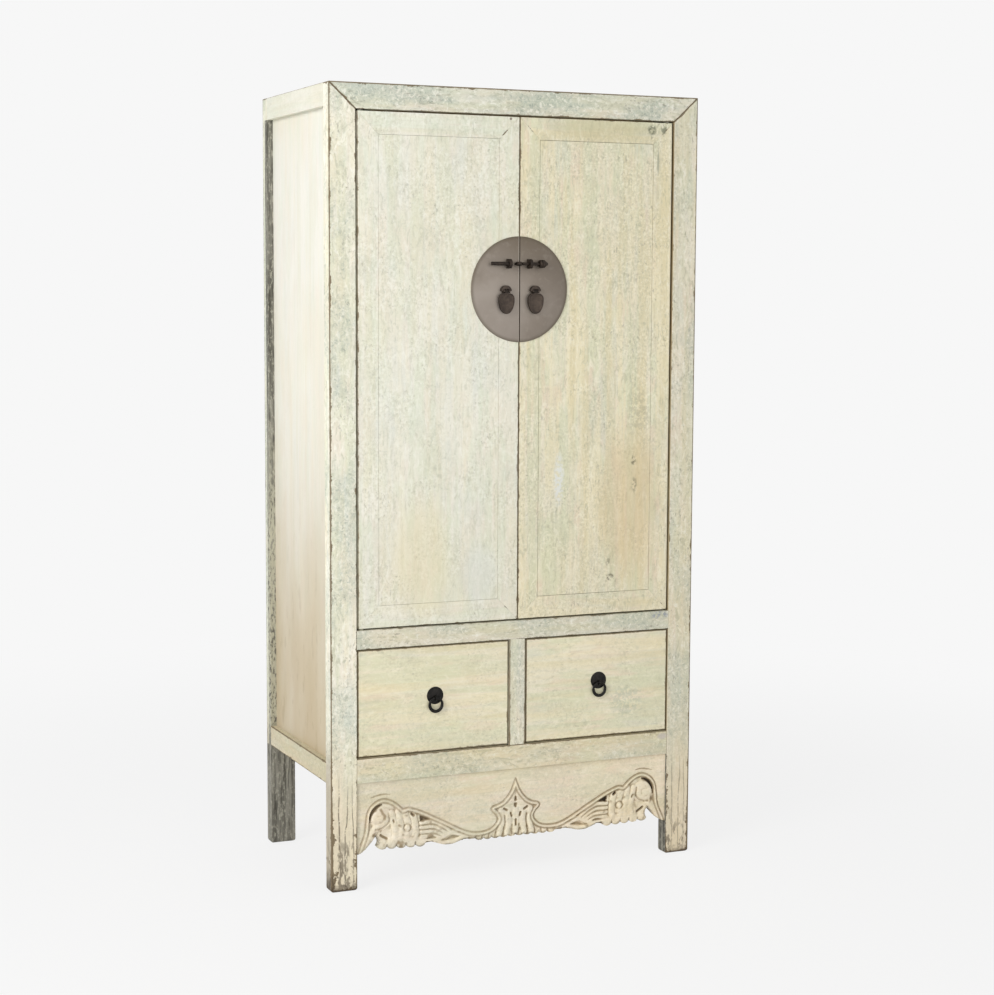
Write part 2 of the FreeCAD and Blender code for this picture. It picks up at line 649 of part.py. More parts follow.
def pull_eye():
    """The arched boss on the left plate, slotted for a drop pull's tab, with two ears and the cross pin."""
    left = -PULL_CENTRE - PULL_ARCH_RADIUS
    right = -PULL_CENTRE + PULL_ARCH_RADIUS
    front = PLATE_FACE - PULL_ARCH_DEPTH
    disc = rod(PULL_ARCH_RADIUS, V(-PULL_CENTRE, front, PULL_PIVOT_HEIGHT), ALONG_Y, PULL_ARCH_DEPTH)
    upper = block(left, right, front, PLATE_FACE, PULL_PIVOT_HEIGHT, PULL_PIVOT_HEIGHT + PULL_ARCH_RADIUS)
    gap_half = PULL_TAB_WIDTH / 2 + PULL_TAB_GAP
    slot = block(
        -PULL_CENTRE - gap_half, -PULL_CENTRE + gap_half, front, PLATE_FACE,
        PULL_PIVOT_HEIGHT, PULL_PIVOT_HEIGHT + PULL_ARCH_SLOT_RISE,
    )
    pieces = [shank_head(), shank(PULL_CENTRE, PULL_PIVOT_HEIGHT)]
    for x0 in (-PULL_CENTRE - gap_half - PULL_EAR_WIDTH, -PULL_CENTRE + gap_half):
        pieces.append(block(
            x0, x0 + PULL_EAR_WIDTH, PULL_PIVOT_Y, PLATE_FACE,
            PULL_PIVOT_HEIGHT - PULL_EAR_RADIUS, PULL_PIVOT_HEIGHT + PULL_EAR_RADIUS,
        ))
        pieces.append(rod(PULL_EAR_RADIUS, V(x0, PULL_PIVOT_Y, PULL_PIVOT_HEIGHT), ALONG_X, PULL_EAR_WIDTH))
    pin_start = V(-PULL_CENTRE - gap_half - PULL_EAR_WIDTH, PULL_PIVOT_Y, PULL_PIVOT_HEIGHT)
    pieces.append(rod(PULL_PIN_RADIUS, pin_start, ALONG_X, 2 * (gap_half + PULL_EAR_WIDTH)))
    return joined(disc.common(upper).cut(slot), *pieces)


def shank_head():
    """The flat head of the left boss's shank, which closes the slot towards the plate."""
    width = PULL_TAB_WIDTH / 2 + PULL_TAB_GAP + PULL_EAR_WIDTH
    return block(
        -PULL_CENTRE - width, -PULL_CENTRE + width, PLATE_FACE - PULL_HEAD_THICKNESS, PLATE_FACE,
        PULL_PIVOT_HEIGHT - PULL_EAR_RADIUS, PULL_PIVOT_HEIGHT + PULL_EAR_RADIUS,
    )


def half_oval(half_width, height, level):
    """The half of an upright oval slab above or below a level, as wide as a left drop pull."""
    y0 = PULL_PIVOT_Y - PULL_THICKNESS / 2
    middle = V(-PULL_CENTRE, y0, level)
    ends = [V(-PULL_CENTRE + half_width, y0, level), V(-PULL_CENTRE, y0, level + abs(height))]
    if abs(height) > half_width:
        ends.reverse()
    outline = Part.Ellipse(ends[0], ends[1], middle).toShape()
    slab = Part.Face(Part.Wire(outline)).extrude(V(0, PULL_THICKNESS, 0))
    return slab.common(block(
        -PULL_CENTRE - half_width, -PULL_CENTRE + half_width, y0, y0 + PULL_THICKNESS,
        min(level, level + height), max(level, level + height),
    ))


def drop_pull():
    """The left egg-shaped drop pull, hanging by its tab with the narrow end down."""
    half = PULL_WIDTH / 2
    y0 = PULL_PIVOT_Y - PULL_THICKNESS / 2
    belly_z = PULL_PIVOT_HEIGHT - PULL_LENGTH + PULL_TIP_LENGTH
    neck_z = PULL_PIVOT_HEIGHT - PULL_EAR_RADIUS - PULL_TAB_GAP
    tip = half_oval(half, -PULL_TIP_LENGTH, belly_z)
    crown = half_oval(half, PULL_CROWN_LENGTH, belly_z).common(block(
        -PULL_CENTRE - half, -PULL_CENTRE + half, y0, y0 + PULL_THICKNESS, belly_z, neck_z
    ))
    tab = block(
        -PULL_CENTRE - PULL_TAB_WIDTH / 2, -PULL_CENTRE + PULL_TAB_WIDTH / 2, y0, y0 + PULL_THICKNESS,
        belly_z, PULL_PIVOT_HEIGHT,
    )
    knuckle = rod(PULL_THICKNESS / 2, V(-PULL_CENTRE - PULL_TAB_WIDTH / 2, PULL_PIVOT_Y, PULL_PIVOT_HEIGHT),
                  ALONG_X, PULL_TAB_WIDTH)
    hole = rod(PULL_PIN_RADIUS + RUNNING_CLEARANCE, V(-PULL_CENTRE - half, PULL_PIVOT_Y, PULL_PIVOT_HEIGHT),
               ALONG_X, PULL_WIDTH)
    return joined(tip, crown, tab, knuckle).cut(hole)


def build_drop_pulls():
    """The pair of drop pulls on the lock plate, and what they hang on."""
    save_pair("pull_eye_{}", pull_eye())
    save_pair("drop_pull_{}", drop_pull())


def ring_places():
    """For each drawer, its word and the middle of its pull's round plate, across and up."""
    middle = (DRAWER_FLOOR + DRAWER_CEILING) / 2
    return [
        ("left", drawer_centre() + LEFT_RING_SHIFT[0], middle + LEFT_RING_SHIFT[1]),
        ("right", -drawer_centre() + RIGHT_RING_SHIFT[0], middle + RIGHT_RING_SHIFT[1]),
    ]


def drawer_centre():
    """The middle of the left drawer front."""
    return -(OPENING_HALF + DIVIDER_HALF) / 2


def build_drawers():
    """Both drawers: the front, a pair of sides, the back and the bottom."""
    x0 = -OPENING_HALF + DRAWER_GAP
    x1 = -DIVIDER_HALF - DRAWER_GAP
    wall_x0 = x0 + DRAWER_SIDE_INSET
    wall_x1 = x1 - DRAWER_SIDE_INSET
    inner_x0 = wall_x0 + DRAWER_SIDE_THICKNESS
    inner_x1 = wall_x1 - DRAWER_SIDE_THICKNESS
    rear = DRAWER_FRONT_BACK + DRAWER_BOX_DEPTH
    back_y0 = rear - DRAWER_BACK_THICKNESS
    bottom_z0 = DRAWER_FLOOR + DRAWER_BOTTOM_LIFT
    bottom_z1 = bottom_z0 + DRAWER_BOTTOM_THICKNESS
    top = DRAWER_FLOOR + DRAWER_SIDE_HEIGHT
    bottom = block(
        inner_x0 - DRAWER_BOTTOM_TONGUE, inner_x1 + DRAWER_BOTTOM_TONGUE,
        DRAWER_FRONT_BACK - DRAWER_BOTTOM_TONGUE, rear, bottom_z0, bottom_z1,
    )
    front = block(
        x0, x1, DRAWER_FACE, DRAWER_FRONT_BACK, DRAWER_FLOOR + DRAWER_GAP, DRAWER_CEILING - DRAWER_GAP
    ).cut(bottom)
    for word, x, z in ring_places():
        shank_hole = rod(EYE_SHANK_RADIUS, V(x, DRAWER_FACE, z - EYE_DROP), ALONG_Y, DRAWER_FRONT_THICKNESS)
        blank = front if word == "left" else mirrored(front)
        save(f"drawer_{word}_front", blank.cut(shank_hole))
    walls = [
        block(wall_x0, inner_x0, DRAWER_FRONT_BACK, rear, DRAWER_FLOOR, top).cut(bottom),
        block(inner_x1, wall_x1, DRAWER_FRONT_BACK, rear, DRAWER_FLOOR, top).cut(bottom),
    ]
    save("drawer_left_sides", *walls)
    save("drawer_right_sides", *[mirrored(wall) for wall in walls])
    save_pair("drawer_{}_back", block(inner_x0, inner_x1, back_y0, rear, bottom_z1, top - DRAWER_BACK_DROP))
    save_pair("drawer_{}_bottom", bottom)


def ring_pull(word, x, plate_z):
    """The domed plate, the eye and the ring of one drawer."""
    eye_z = plate_z - EYE_DROP
    sphere_radius = (RING_PLATE_RADIUS ** 2 + RING_PLATE_DOME ** 2) / (2 * RING_PLATE_DOME)
    sphere = Part.makeSphere(sphere_radius, V(x, DRAWER_FACE + sphere_radius - RING_PLATE_DOME, plate_z))
    in_front = block(
        x - sphere_radius, x + sphere_radius, DRAWER_FACE - sphere_radius, DRAWER_FACE,
        plate_z - sphere_radius, plate_z + sphere_radius,
    )
    hole_radius = RING_WIRE_RADIUS + RING_EYE_CLEARANCE
    shank_y0 = EYE_Y + (hole_radius + EYE_RADIUS) / 2
    eye_shank = rod(EYE_SHANK_RADIUS, V(x, shank_y0, eye_z), ALONG_Y, DRAWER_FRONT_BACK - shank_y0)
    eye_x0 = x - EYE_WIDTH / 2
    eye_disc = rod(EYE_RADIUS, V(eye_x0, EYE_Y, eye_z), ALONG_X, EYE_WIDTH)
    eye_hole = rod(hole_radius, V(eye_x0, EYE_Y, eye_z), ALONG_X, EYE_WIDTH)
    tail = block(
        x - EYE_TAIL_LENGTH / 2, x + EYE_TAIL_LENGTH / 2, DRAWER_FRONT_BACK,
        DRAWER_FRONT_BACK + EYE_TAIL_THICKNESS, eye_z - EYE_TAIL_WIDTH / 2, eye_z + EYE_TAIL_WIDTH / 2,
    )
    save(f"ring_plate_{word}", sphere.common(in_front).cut([eye_shank, eye_disc]))
    save(f"ring_eye_{word}", joined(eye_disc, eye_shank, tail).cut(eye_hole))
    turn_radius = RING_OUTER_RADIUS - RING_WIRE_RADIUS
    ring = Part.makeTorus(turn_radius, RING_WIRE_RADIUS, V(x, EYE_Y, eye_z - turn_radius), ALONG_Y)
    save(f"pull_ring_{word}", ring)


def build_ring_pulls():
    """The ring pulls of both drawers."""
    for place in ring_places():
        ring_pull(*place)


def main():
    """Builds every piece of the cabinet."""
    os.makedirs("parts", exist_ok=True)
    build_frame()
    build_panels()
    build_inside()
    build_apron()
    build_doors()
    build_lock()
    build_drop_pulls()
    build_drawers()
    build_ring_pulls()


main()
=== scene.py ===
"""The looks of a tall round-lock cabinet: worn cream paint over wood, a carved apron and dark metal fittings.

Everything is in metres. X runs to the right, Y to the back and Z up, with the floor at zero.
"""
import math

import bpy
import numpy as np
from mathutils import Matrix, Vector


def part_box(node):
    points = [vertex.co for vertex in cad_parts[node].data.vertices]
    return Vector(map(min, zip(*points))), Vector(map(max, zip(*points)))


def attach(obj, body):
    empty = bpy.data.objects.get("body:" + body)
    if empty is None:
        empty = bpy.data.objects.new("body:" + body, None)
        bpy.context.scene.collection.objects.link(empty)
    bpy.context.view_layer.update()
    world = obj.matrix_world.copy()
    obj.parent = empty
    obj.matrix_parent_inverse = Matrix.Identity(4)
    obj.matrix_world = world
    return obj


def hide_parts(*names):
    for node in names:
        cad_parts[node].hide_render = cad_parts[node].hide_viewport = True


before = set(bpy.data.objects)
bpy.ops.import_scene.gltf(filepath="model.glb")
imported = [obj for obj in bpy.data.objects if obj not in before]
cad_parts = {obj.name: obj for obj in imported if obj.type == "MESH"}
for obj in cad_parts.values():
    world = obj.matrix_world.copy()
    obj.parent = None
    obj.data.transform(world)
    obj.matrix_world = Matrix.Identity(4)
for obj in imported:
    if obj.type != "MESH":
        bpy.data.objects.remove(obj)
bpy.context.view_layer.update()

MM = 0.001
NEAR = 0.1 * MM
SHELTER = 4.2 * MM
BEHIND_FRONT = -240 * MM
SIDES = ((-1, "left"), (1, "right"))
ACROSS = Vector((1, 0, 0))
DEEP = Vector((0, 1, 0))
UP = Vector((0, 0, 1))
SOCKETS = {
    "base_color": "Base Color",
    "roughness": "Roughness",
    "metallic": "Metallic",
    "specular": "Specular IOR Level",
}


def tone(code):
    """A written colour, such as e6e1cf, as the linear values that shaders use."""
    values = [int(code[i:i + 2], 16) / 255 for i in (0, 2, 4)]
    return [v / 12.92 if v <= 0.04045 else ((v + 0.055) / 1.055) ** 2.4 for v in values]


class Value:
    """A shader socket that ordinary arithmetic works on."""

    def __init__(self, finish, socket):
        self.finish = finish
        self.socket = socket

    def math(self, operation, *others):
        return self.finish.node("ShaderNodeMath", {"operation": operation}, [self, *others])

    def __add__(self, other):
        return self.math("ADD", other)

    def __sub__(self, other):
        return self.math("SUBTRACT", other)

    def __rsub__(self, other):
        return self.finish.node("ShaderNodeMath", {"operation": "SUBTRACT"}, [other, self])

    def __mul__(self, other):
        return self.math("MULTIPLY", other)

    def __abs__(self):
        return self.math("ABSOLUTE")

    def least(self, other):
        return self.math("MINIMUM", other)

    def most(self, other):
        return self.math("MAXIMUM", other)

    def rise(self, low, high):
        """Zero below low, one above high and smooth between."""
        return self.finish.node(
            "ShaderNodeMapRange", {"interpolation_type": "SMOOTHSTEP"},
            {"Value": self, "From Min": low, "From Max": high},
        )

    def fall(self, low, high):
        """One below low, zero above high and smooth between."""
        return 1 - self.rise(low, high)


class Finish:
    """A material and the nodes that make its pattern."""

    def __init__(self, name):
        self.material = bpy.data.materials.new(name)
        self.material.use_nodes = True
        self.tree = self.material.node_tree
        self.shader = self.tree.nodes["Principled BSDF"]

    def node(self, kind, settings=None, sockets=None, output=0):
        """Adds a node, makes its settings, fills its sockets and gives back one output."""
        made = self.tree.nodes.new(kind)
        for key, value in (settings or {}).items():
            setattr(made, key, value)
        pairs = sockets.items() if isinstance(sockets, dict) else enumerate(sockets or [])
        for key, value in pairs:
            if isinstance(value, Value):
                self.tree.links.new(value.socket, made.inputs[key])
            else:
                made.inputs[key].default_value = value
        return Value(self, made.outputs[output])

    def place(self):
        """The place on the piece, in metres."""
        return self.node("ShaderNodeTexCoord", output="Object")

    def own(self, name):
        """A value that the piece carries in its mesh."""
        return self.node("ShaderNodeAttribute", {"attribute_name": name}, output="Vector")

    def parts(self, vector):
        """The three numbers of a vector."""
        split = self.node("ShaderNodeSeparateXYZ", None, [vector]).socket.node
        return [Value(self, split.outputs[i]) for i in range(3)]

    def vector(self, operation, *values):
        output = "Value" if operation == "DOT_PRODUCT" else "Vector"
        return self.node("ShaderNodeVectorMath", {"operation": operation}, list(values), output)

    def stretched(self, vector, amount):
        """A vector times a number that may vary."""
        return self.node("ShaderNodeVectorMath", {"operation": "SCALE"}, {"Vector": vector, "Scale": amount})

    def noise(self, at, scale, detail=2.0, roughness=0.5, curl=0.0):
        sockets = {
            "Vector": at, "Scale": scale, "Detail": detail, "Roughness": roughness, "Distortion": curl,
        }
        return self.node("ShaderNodeTexNoise", None, sockets, "Fac")

    def mix(self, amount, first, second):
        """A colour between two, by an amount from zero to one."""
        made = self.tree.nodes.new("ShaderNodeMix")
        made.data_type = "RGBA"
        for key, value in ((0, amount), (6, first), (7, second)):
            if isinstance(value, Value):
                self.tree.links.new(value.socket, made.inputs[key])
            elif key == 0:
                made.inputs[key].default_value = value
            else:
                made.inputs[key].default_value = (*value, 1)
        return Value(self, made.outputs[2])

    def set(self, **constants):
        """Sets what is the same all over the surface."""
        for key, value in constants.items():
            self.shader.inputs[SOCKETS[key]].default_value = value

    def feed(self, **varying):
        """Links what changes over the surface."""
        for key, value in varying.items():
            self.tree.links.new(value.socket, self.shader.inputs[SOCKETS[key]])

    def dents(self, height, strength, depth):
        """A bumpy surface from a height between zero and one, the depth in metres."""
        bump = self.node("ShaderNodeBump", None, {"Height": height, "Strength": strength, "Distance": depth})
        self.tree.links.new(bump.socket, self.shader.inputs["Normal"])


def drawn_out(finish, places, way, share):
    """Places drawn together along one direction, so that a pattern on them stretches along it."""
    along = finish.vector("DOT_PRODUCT", places, way)
    return finish.vector("SUBTRACT", places, finish.stretched(way, along * share))


def grain_places(finish, seed, grain, flow=None):
    """Places on a board: even all ways, stretched along the grain, and stretched less along the flow."""
    shift = finish.stretched((3.1, 5.7, 4.3), seed)
    even = finish.vector("ADD", finish.place(), shift)
    return even, drawn_out(finish, even, grain, 0.94), drawn_out(finish, even, flow or grain, 0.62)


def edge_distance(finish):
    """How far a place is from its board's nearest edge or mitre, in metres."""
    inward = finish.vector("ABSOLUTE", finish.vector("SUBTRACT", finish.place(), finish.own("middle")))
    x, y, z = finish.parts(finish.vector("SUBTRACT", finish.own("half"), inward))
    second = x.least(y).most(x.most(y).least(z))
    first_mitre, second_mitre, _ = finish.parts(finish.own("mitre"))
    return second.least(first_mitre).least(second_mitre)


class Coat:
    """A coat of old paint: its colour and the patterns that made it."""

    def __init__(self, finish, paint, grain, flow, seed, teal_share, speck_share, tints):
        even, drawn, short = grain_places(finish, seed, grain, flow)
        self.short = short
        streak = finish.noise(drawn, 34, 4, 0.62)
        self.fibre = finish.noise(drawn, 190, 3, 0.62)
        self.ragged = finish.noise(even, 95, 4, 0.65)
        self.slow = finish.noise(even, 11, 2)
        self.chips = finish.noise(even, 26, 5, 0.72)

        def cast(*shares):
            return finish.vector("MULTIPLY", paint, shares)

        def cloud(step, scale, low, high):
            at = finish.vector("ADD", short, (step, step * 0.7, -step))
            return finish.noise(at, scale, 3, 0.57).rise(low, high)

        green, pink, blue = tints
        yellow = finish.noise(even, 2.6, 2).rise(0.44, 0.66)
        colour = finish.mix(yellow * 0.5, paint, cast(0.93, 0.87, 0.76))
        colour = finish.mix(cloud(2.3, 19, 0.47, 0.62) * green, colour, cast(0.86, 0.93, 0.83))
        colour = finish.mix(cloud(4.9, 23, 0.50, 0.64) * pink, colour, cast(0.95, 0.86, 0.83))
        colour = finish.mix(cloud(7.7, 16, 0.52, 0.66) * blue, colour, cast(0.83, 0.89, 0.92))
        bands = finish.noise(drawn, 30, 3, 0.55)
        colour = finish.mix(bands.rise(0.49, 0.61) * green, colour, cast(0.84, 0.9, 0.8))
        colour = finish.mix(bands.fall(0.38, 0.49) * pink, colour, cast(1.02, 0.99, 0.88))
        tanned = finish.noise(finish.vector("ADD", drawn, (1.7, 2.9, 0.4)), 25, 3, 0.55).rise(0.51, 0.64)
        colour = finish.mix(tanned * pink, colour, cast(0.91, 0.87, 0.72))
        colour = finish.mix(streak.rise(0.48, 0.68) * 0.26, colour, cast(0.88, 0.82, 0.68))
        fine = speck_share * 0.14 + 0.07
        colour = finish.mix(self.fibre.fall(0.32, 0.5) * fine, colour, cast(0.6, 0.57, 0.48))
        colour = finish.mix(self.fibre.rise(0.56, 0.72) * fine, colour, cast(1.12, 1.14, 1.18))

        self.curls = finish.noise(short, 74, 3, 0.62, 1.4)
        rough = speck_share * 0.6 + 0.02
        colour = finish.mix(self.curls.rise(0.54, 0.68) * rough, colour, cast(0.6, 0.62, 0.53))
        colour = finish.mix(self.curls.fall(0.34, 0.46) * rough, colour, cast(1.12, 1.14, 1.17))

        brushed = finish.noise(even, 105, 4, 0.7, 0.8)
        teal = finish.noise(short, 12, 3, 0.6).rise(0.41, 0.57) * teal_share
        teal = teal * (brushed.rise(0.36, 0.6) * 0.6 + 0.4)
        colour = finish.mix(teal * 0.7, colour, tone("b4bdb1"))
        colour = finish.mix(teal * brushed.rise(0.55, 0.68) * 0.7, colour, tone("7f8a7e"))
        chalk = brushed.fall(0.36, 0.46) * (teal_share * 0.8 + 0.1)
        colour = finish.mix(chalk * 0.62, colour, tone("f2f1e8"))

        patch = self.slow.rise(0.42, 0.6) * 0.8 + 0.2
        self.specks = finish.noise(short, 170, 3, 0.65, 0.7).rise(0.57, 0.69) * patch
        colour = finish.mix(self.specks * speck_share * 0.55, colour, tone("7a7464"))
        grit = finish.noise(even, 150, 3, 0.6)
        coarse = patch * speck_share * (0.75 - teal_share * 0.6)
        colour = finish.mix(grit.rise(0.5, 0.64) * coarse, colour, cast(0.76, 0.76, 0.68))
        colour = finish.mix(grit.fall(0.36, 0.5) * coarse, colour, cast(1.1, 1.11, 1.13))
        self.pits = grit.rise(0.66, 0.75) * patch
        colour = finish.mix(self.pits * speck_share * 0.7, colour, tone("5d5241"))
        self.colour = colour


def add_marks(finish, coat, colour):
    """The single stains and knocks on the front, each with its place and half sizes in millimetres.

    Its colour and strength follow, and whether it is broken up like chipped paint.
    """
    x, y, z = finish.parts(finish.place())
    front = y.fall(BEHIND_FRONT - MM, BEHIND_FRONT + MM)
    for across, up, wide, tall, code, strength, broken in (
        (220, 1815, 190, 34, "c3b98f", 0.4, False),
        (302, 900, 100, 230, "d3b98c", 0.4, False),
        (109, 966, 18, 80, "e2e5e3", 0.8, True),
        (-102, 743, 60, 90, "dde1dc", 0.45, False),
        (-250, 790, 90, 180, "e3d8b0", 0.4, False),
        (402, 306, 18, 10, "a8a2b4", 0.4, False),
        (-24, 1831, 4, 4, "5a3a34", 0.8, False),
        (372, 1740, 4, 38, "8b9080", 0.6, False),
        (354, 1818, 15, 16, "666957", 0.85, True),
        (387, 1819, 11, 17, "70735f", 0.8, True),
        (325, 1130, 42, 75, "a29d83", 0.4, True),
        (312, 1009, 9, 15, "6e6953", 0.8, True),
        (315, 949, 10, 24, "7d7861", 0.6, True),
        (251, 720, 13, 11, "545142", 0.9, True),
        (245, 758, 9, 13, "7d7966", 0.65, True),
        (392, 616, 30, 13, "78829c", 0.7, True),
        (300, 405, 62, 52, "a9b2a0", 0.4, True),
    ):
        aside = (x - across * MM) * (1 / (wide * MM))
        above = (z - up * MM) * (1 / (tall * MM))
        amount = (aside * aside + above * above).fall(0.1, 1.0) * front * strength
        if broken:
            amount = amount * coat.ragged.rise(0.42, 0.56)
        colour = finish.mix(amount, colour, tone(code))
    return colour


def stained_below(finish, coat, colour, height, stain):
    """A colour browned and soiled more and more towards the foot of a stained board."""
    mottled = finish.noise(coat.short, 6, 3, 0.55).rise(0.3, 0.68) * 0.35 + 0.6
    browned = height.fall(0.36, 1.24) * mottled * stain
    colour = finish.mix(browned * 0.9, colour, tone("b5a27f"))
    grimy = finish.noise(coat.short, 34, 3, 0.6).rise(0.55, 0.7) * height.fall(0.35, 1.2) * stain
    return finish.mix(grimy * 0.3, colour, tone("94825f"))


def bare_edges(finish, coat, wear, tired):
    """Where paint is gone from a board's edges: ragged, bitten, and wider on a tired leg."""
    bites = coat.chips.rise(0.5, 0.7)
    width = (coat.ragged - 0.5) * 0.003 + 0.0028 + bites * (tired * 0.004 + 0.0034)
    bare = (edge_distance(finish) - width * (wear + tired * 0.9)).fall(-0.0005, 0.0006)
    return bare * (coat.fibre.rise(0.3, 0.5) * 0.2 + 0.72) * wear.rise(0.0, 0.3)


def scuffed_leg(finish, coat, aside, height, foot, cracked, blotted):
    """Where paint is gone from a leg: wandering splits, blots and the rubbed end by the floor."""
    wander = (finish.noise(coat.short, 15, 3, 0.6) - 0.5) * 0.02
    splits = abs(aside + 0.013 + wander).fall(0.0008, 0.0026)
    splits = splits.most(abs(aside - 0.004 - wander * 1.6).fall(0.0006, 0.0022))
    splits = splits.most(abs(aside - 0.021 + wander).fall(0.0004, 0.0018))
    reached = (height + (coat.slow - 0.5) * 0.2).fall(0.17, 0.3)
    splits = splits * coat.ragged.rise(0.34, 0.48) * reached * cracked
    blots = finish.noise(coat.short, 70, 4, 0.6).rise(0.5, 0.61) * blotted
    blots = blots * (height + (coat.slow - 0.5) * 0.12).fall(0.04, 0.16)
    low = (height + (coat.ragged - 0.5) * 0.05 + (coat.slow - 0.5) * 0.04).fall(0.0, 0.024) * foot
    return low.most(splits * 0.85).most(blots * 0.85).least(1.0)


def worn_paint():
    """Cream paint on boards: mottled, speckled, tinted green in patches and worn to brown at the edges, with
    painted shade low on the left side of the legs.
    """
    finish = Finish("worn_cream_paint")
    paint, grain, flow = [finish.own(name) for name in ("paint", "grain", "flow")]
    teal_share, speck_share, wear = finish.parts(finish.own("look"))
    stain, seed, _ = finish.parts(finish.own("extra"))
    foot, cracked, blotted = finish.parts(finish.own("foot"))
    tints = finish.parts(finish.own("tints"))
    coat = Coat(finish, paint, grain, flow, seed, teal_share, speck_share, tints)
    height = finish.parts(finish.place())[2]
    colour = add_marks(finish, coat, coat.colour)
    colour = stained_below(finish, coat, colour, height, stain)

    tired = height.fall(0.04, 0.3) * foot
    leg = height.fall(0.12, 0.42) * foot
    colour = finish.mix(leg * 0.62, colour, tone("e8d6b8"))
    # Painted shade: the left side face of a leg is darkened low down, most of all near the floor.
    aside = finish.parts(finish.vector("SUBTRACT", finish.place(), finish.own("middle")))[0]
    outside = (aside + finish.parts(finish.own("half"))[0]).fall(0.0006, 0.0024)
    shade = (height.fall(0.26, 0.4) * 0.54 + height.fall(0.0, 0.08) * 0.6).least(1.0)
    colour = finish.mix(outside * shade * foot, colour, tone("7d7566"))

    bare = bare_edges(finish, coat, wear, tired)
    colour = finish.mix(bare, colour, finish.mix(coat.fibre, tone("463a29"), tone("8a7758")))
    scuffed = scuffed_leg(finish, coat, aside, height, foot, cracked, blotted)
    colour = finish.mix(scuffed * 0.88, colour, finish.mix(coat.fibre, tone("211912"), tone("5e4d38")))

    roughness = (bare + coat.specks * 0.4) * 0.16 + 0.52 + (coat.fibre - 0.5) * 0.1
    finish.feed(base_color=colour, roughness=roughness)
    finish.set(specular=0.3)
    chipped = bare * 0.6 + coat.specks * speck_share * 0.3 + coat.pits * 0.4 + scuffed * 0.4
    finish.dents(coat.fibre * 0.2 + coat.curls * 0.4 - chipped, 0.5, 0.001)
    return finish.material


def carved_paint():
    """Thin paint over carving: painted highlights on the high places, brown painted shade and dirt in the
    hollows, nearly black painted shade in the cuts and grey painted shade along the lower edge.
    """
    finish = Finish("carved_cream_paint")
    coat = Coat(finish, tone("e8ddc8"), tuple(ACROSS), tuple(ACROSS), 0.43, 0.3, 0.5, (0.45, 0.55, 0.35))
    shade_and_dirt, highlight_and_pale_patches, rim = finish.parts(finish.own("relief"))
    x = finish.parts(finish.place())[0]
    warm = finish.vector("MULTIPLY", coat.colour, (1.1, 1.07, 1.05))
    colour = finish.mix(x.rise(-0.25, 0.35), coat.colour, warm)
    # Painted highlight on the raised places, mixed with random pale patches.
    colour = finish.mix(highlight_and_pale_patches * coat.ragged.rise(0.3, 0.6) * 0.6, colour, tone("f4ecda"))
    # Painted shade and dirt, brown in the hollows.
    brown_shade_and_dirt = (shade_and_dirt + (coat.ragged - 0.5) * 0.4).rise(0.03, 0.55)
    colour = finish.mix(brown_shade_and_dirt * 0.8, colour, tone("8a7453"))
    # Painted shade, grey along the lower edge and broken into spots.
    colour = finish.mix(rim * coat.chips.rise(0.4, 0.6) * 0.8, colour, tone("6b655b"))
    # Painted shade, nearly black, deep in the cuts.
    colour = finish.mix((shade_and_dirt + (coat.ragged - 0.5) * 0.2).rise(0.6, 0.98) * 0.92, colour, tone("261b11"))
    finish.feed(base_color=colour, roughness=(coat.fibre - 0.5) * 0.12 + 0.56)
    finish.set(specular=0.28)
    finish.dents(coat.fibre * 0.4 + coat.ragged * 0.5, 0.5, 0.001)
    return finish.material


def bare_wood(name, grain, cast=(1, 1, 1)):
    """Dry unpainted softwood with its grain along one direction; its colour may be given a cast."""
    finish = Finish(name)
    even, drawn, short = grain_places(finish, 0.37, tuple(grain))
    rings = finish.noise(drawn, 26, 3, 0.55)
    fibre = finish.noise(drawn, 240, 3, 0.6)
    cloud = finish.noise(even, 3.2, 2)
    colour = finish.mix(rings.rise(0.36, 0.64), tone("9c7f58"), tone("c2a67b"))
    colour = finish.mix(fibre.fall(0.3, 0.52) * 0.5, colour, tone("6f5437"))
    colour = finish.mix(cloud.rise(0.45, 0.7) * 0.3, colour, tone("8a7350"))
    knots = finish.noise(short, 9, 2).rise(0.7, 0.78)
    colour = finish.mix(knots * 0.6, colour, tone("5f4429"))
    finish.feed(base_color=finish.vector("MULTIPLY", colour, cast), roughness=fibre * 0.2 + 0.62)
    finish.set(specular=0.25)
    finish.dents(fibre * 0.6 + rings * 0.4, 0.5, 0.001)
    return finish.material


def weathered_wood():
    """Grey unpainted faces of the posts, with dark cracks along the grain."""
    finish = Finish("weathered_grey_wood")
    _, drawn, short = grain_places(finish, 0.71, tuple(UP))
    fibre = finish.noise(drawn, 210, 3, 0.65)
    streak = finish.noise(drawn, 60, 3, 0.6)
    speckle = finish.noise(short, 190, 3, 0.7)
    colour = finish.mix(streak.rise(0.34, 0.66), tone("5c5a52"), tone("96948a"))
    colour = finish.mix(speckle.rise(0.5, 0.62) * 0.7, colour, tone("b3b1a3"))
    colour = finish.mix(fibre.fall(0.34, 0.5) * 0.7, colour, tone("3a3831"))
    colour = finish.mix(finish.noise(drawn, 31, 2).fall(0.3, 0.38) * 0.8, colour, tone("2c2a26"))
    height = finish.parts(finish.place())[2]
    flakes = speckle.rise(0.42, 0.5) * height.rise(0.24, 0.34) * height.fall(0.75, 1.15)
    colour = finish.mix(flakes * 0.75, colour, tone("c3c1ac"))
    finish.feed(base_color=colour, roughness=fibre * 0.2 + 0.65)
    finish.set(specular=0.25)
    finish.dents(fibre * 0.5 + streak * 0.5, 0.7, 0.0014)
    return finish.material


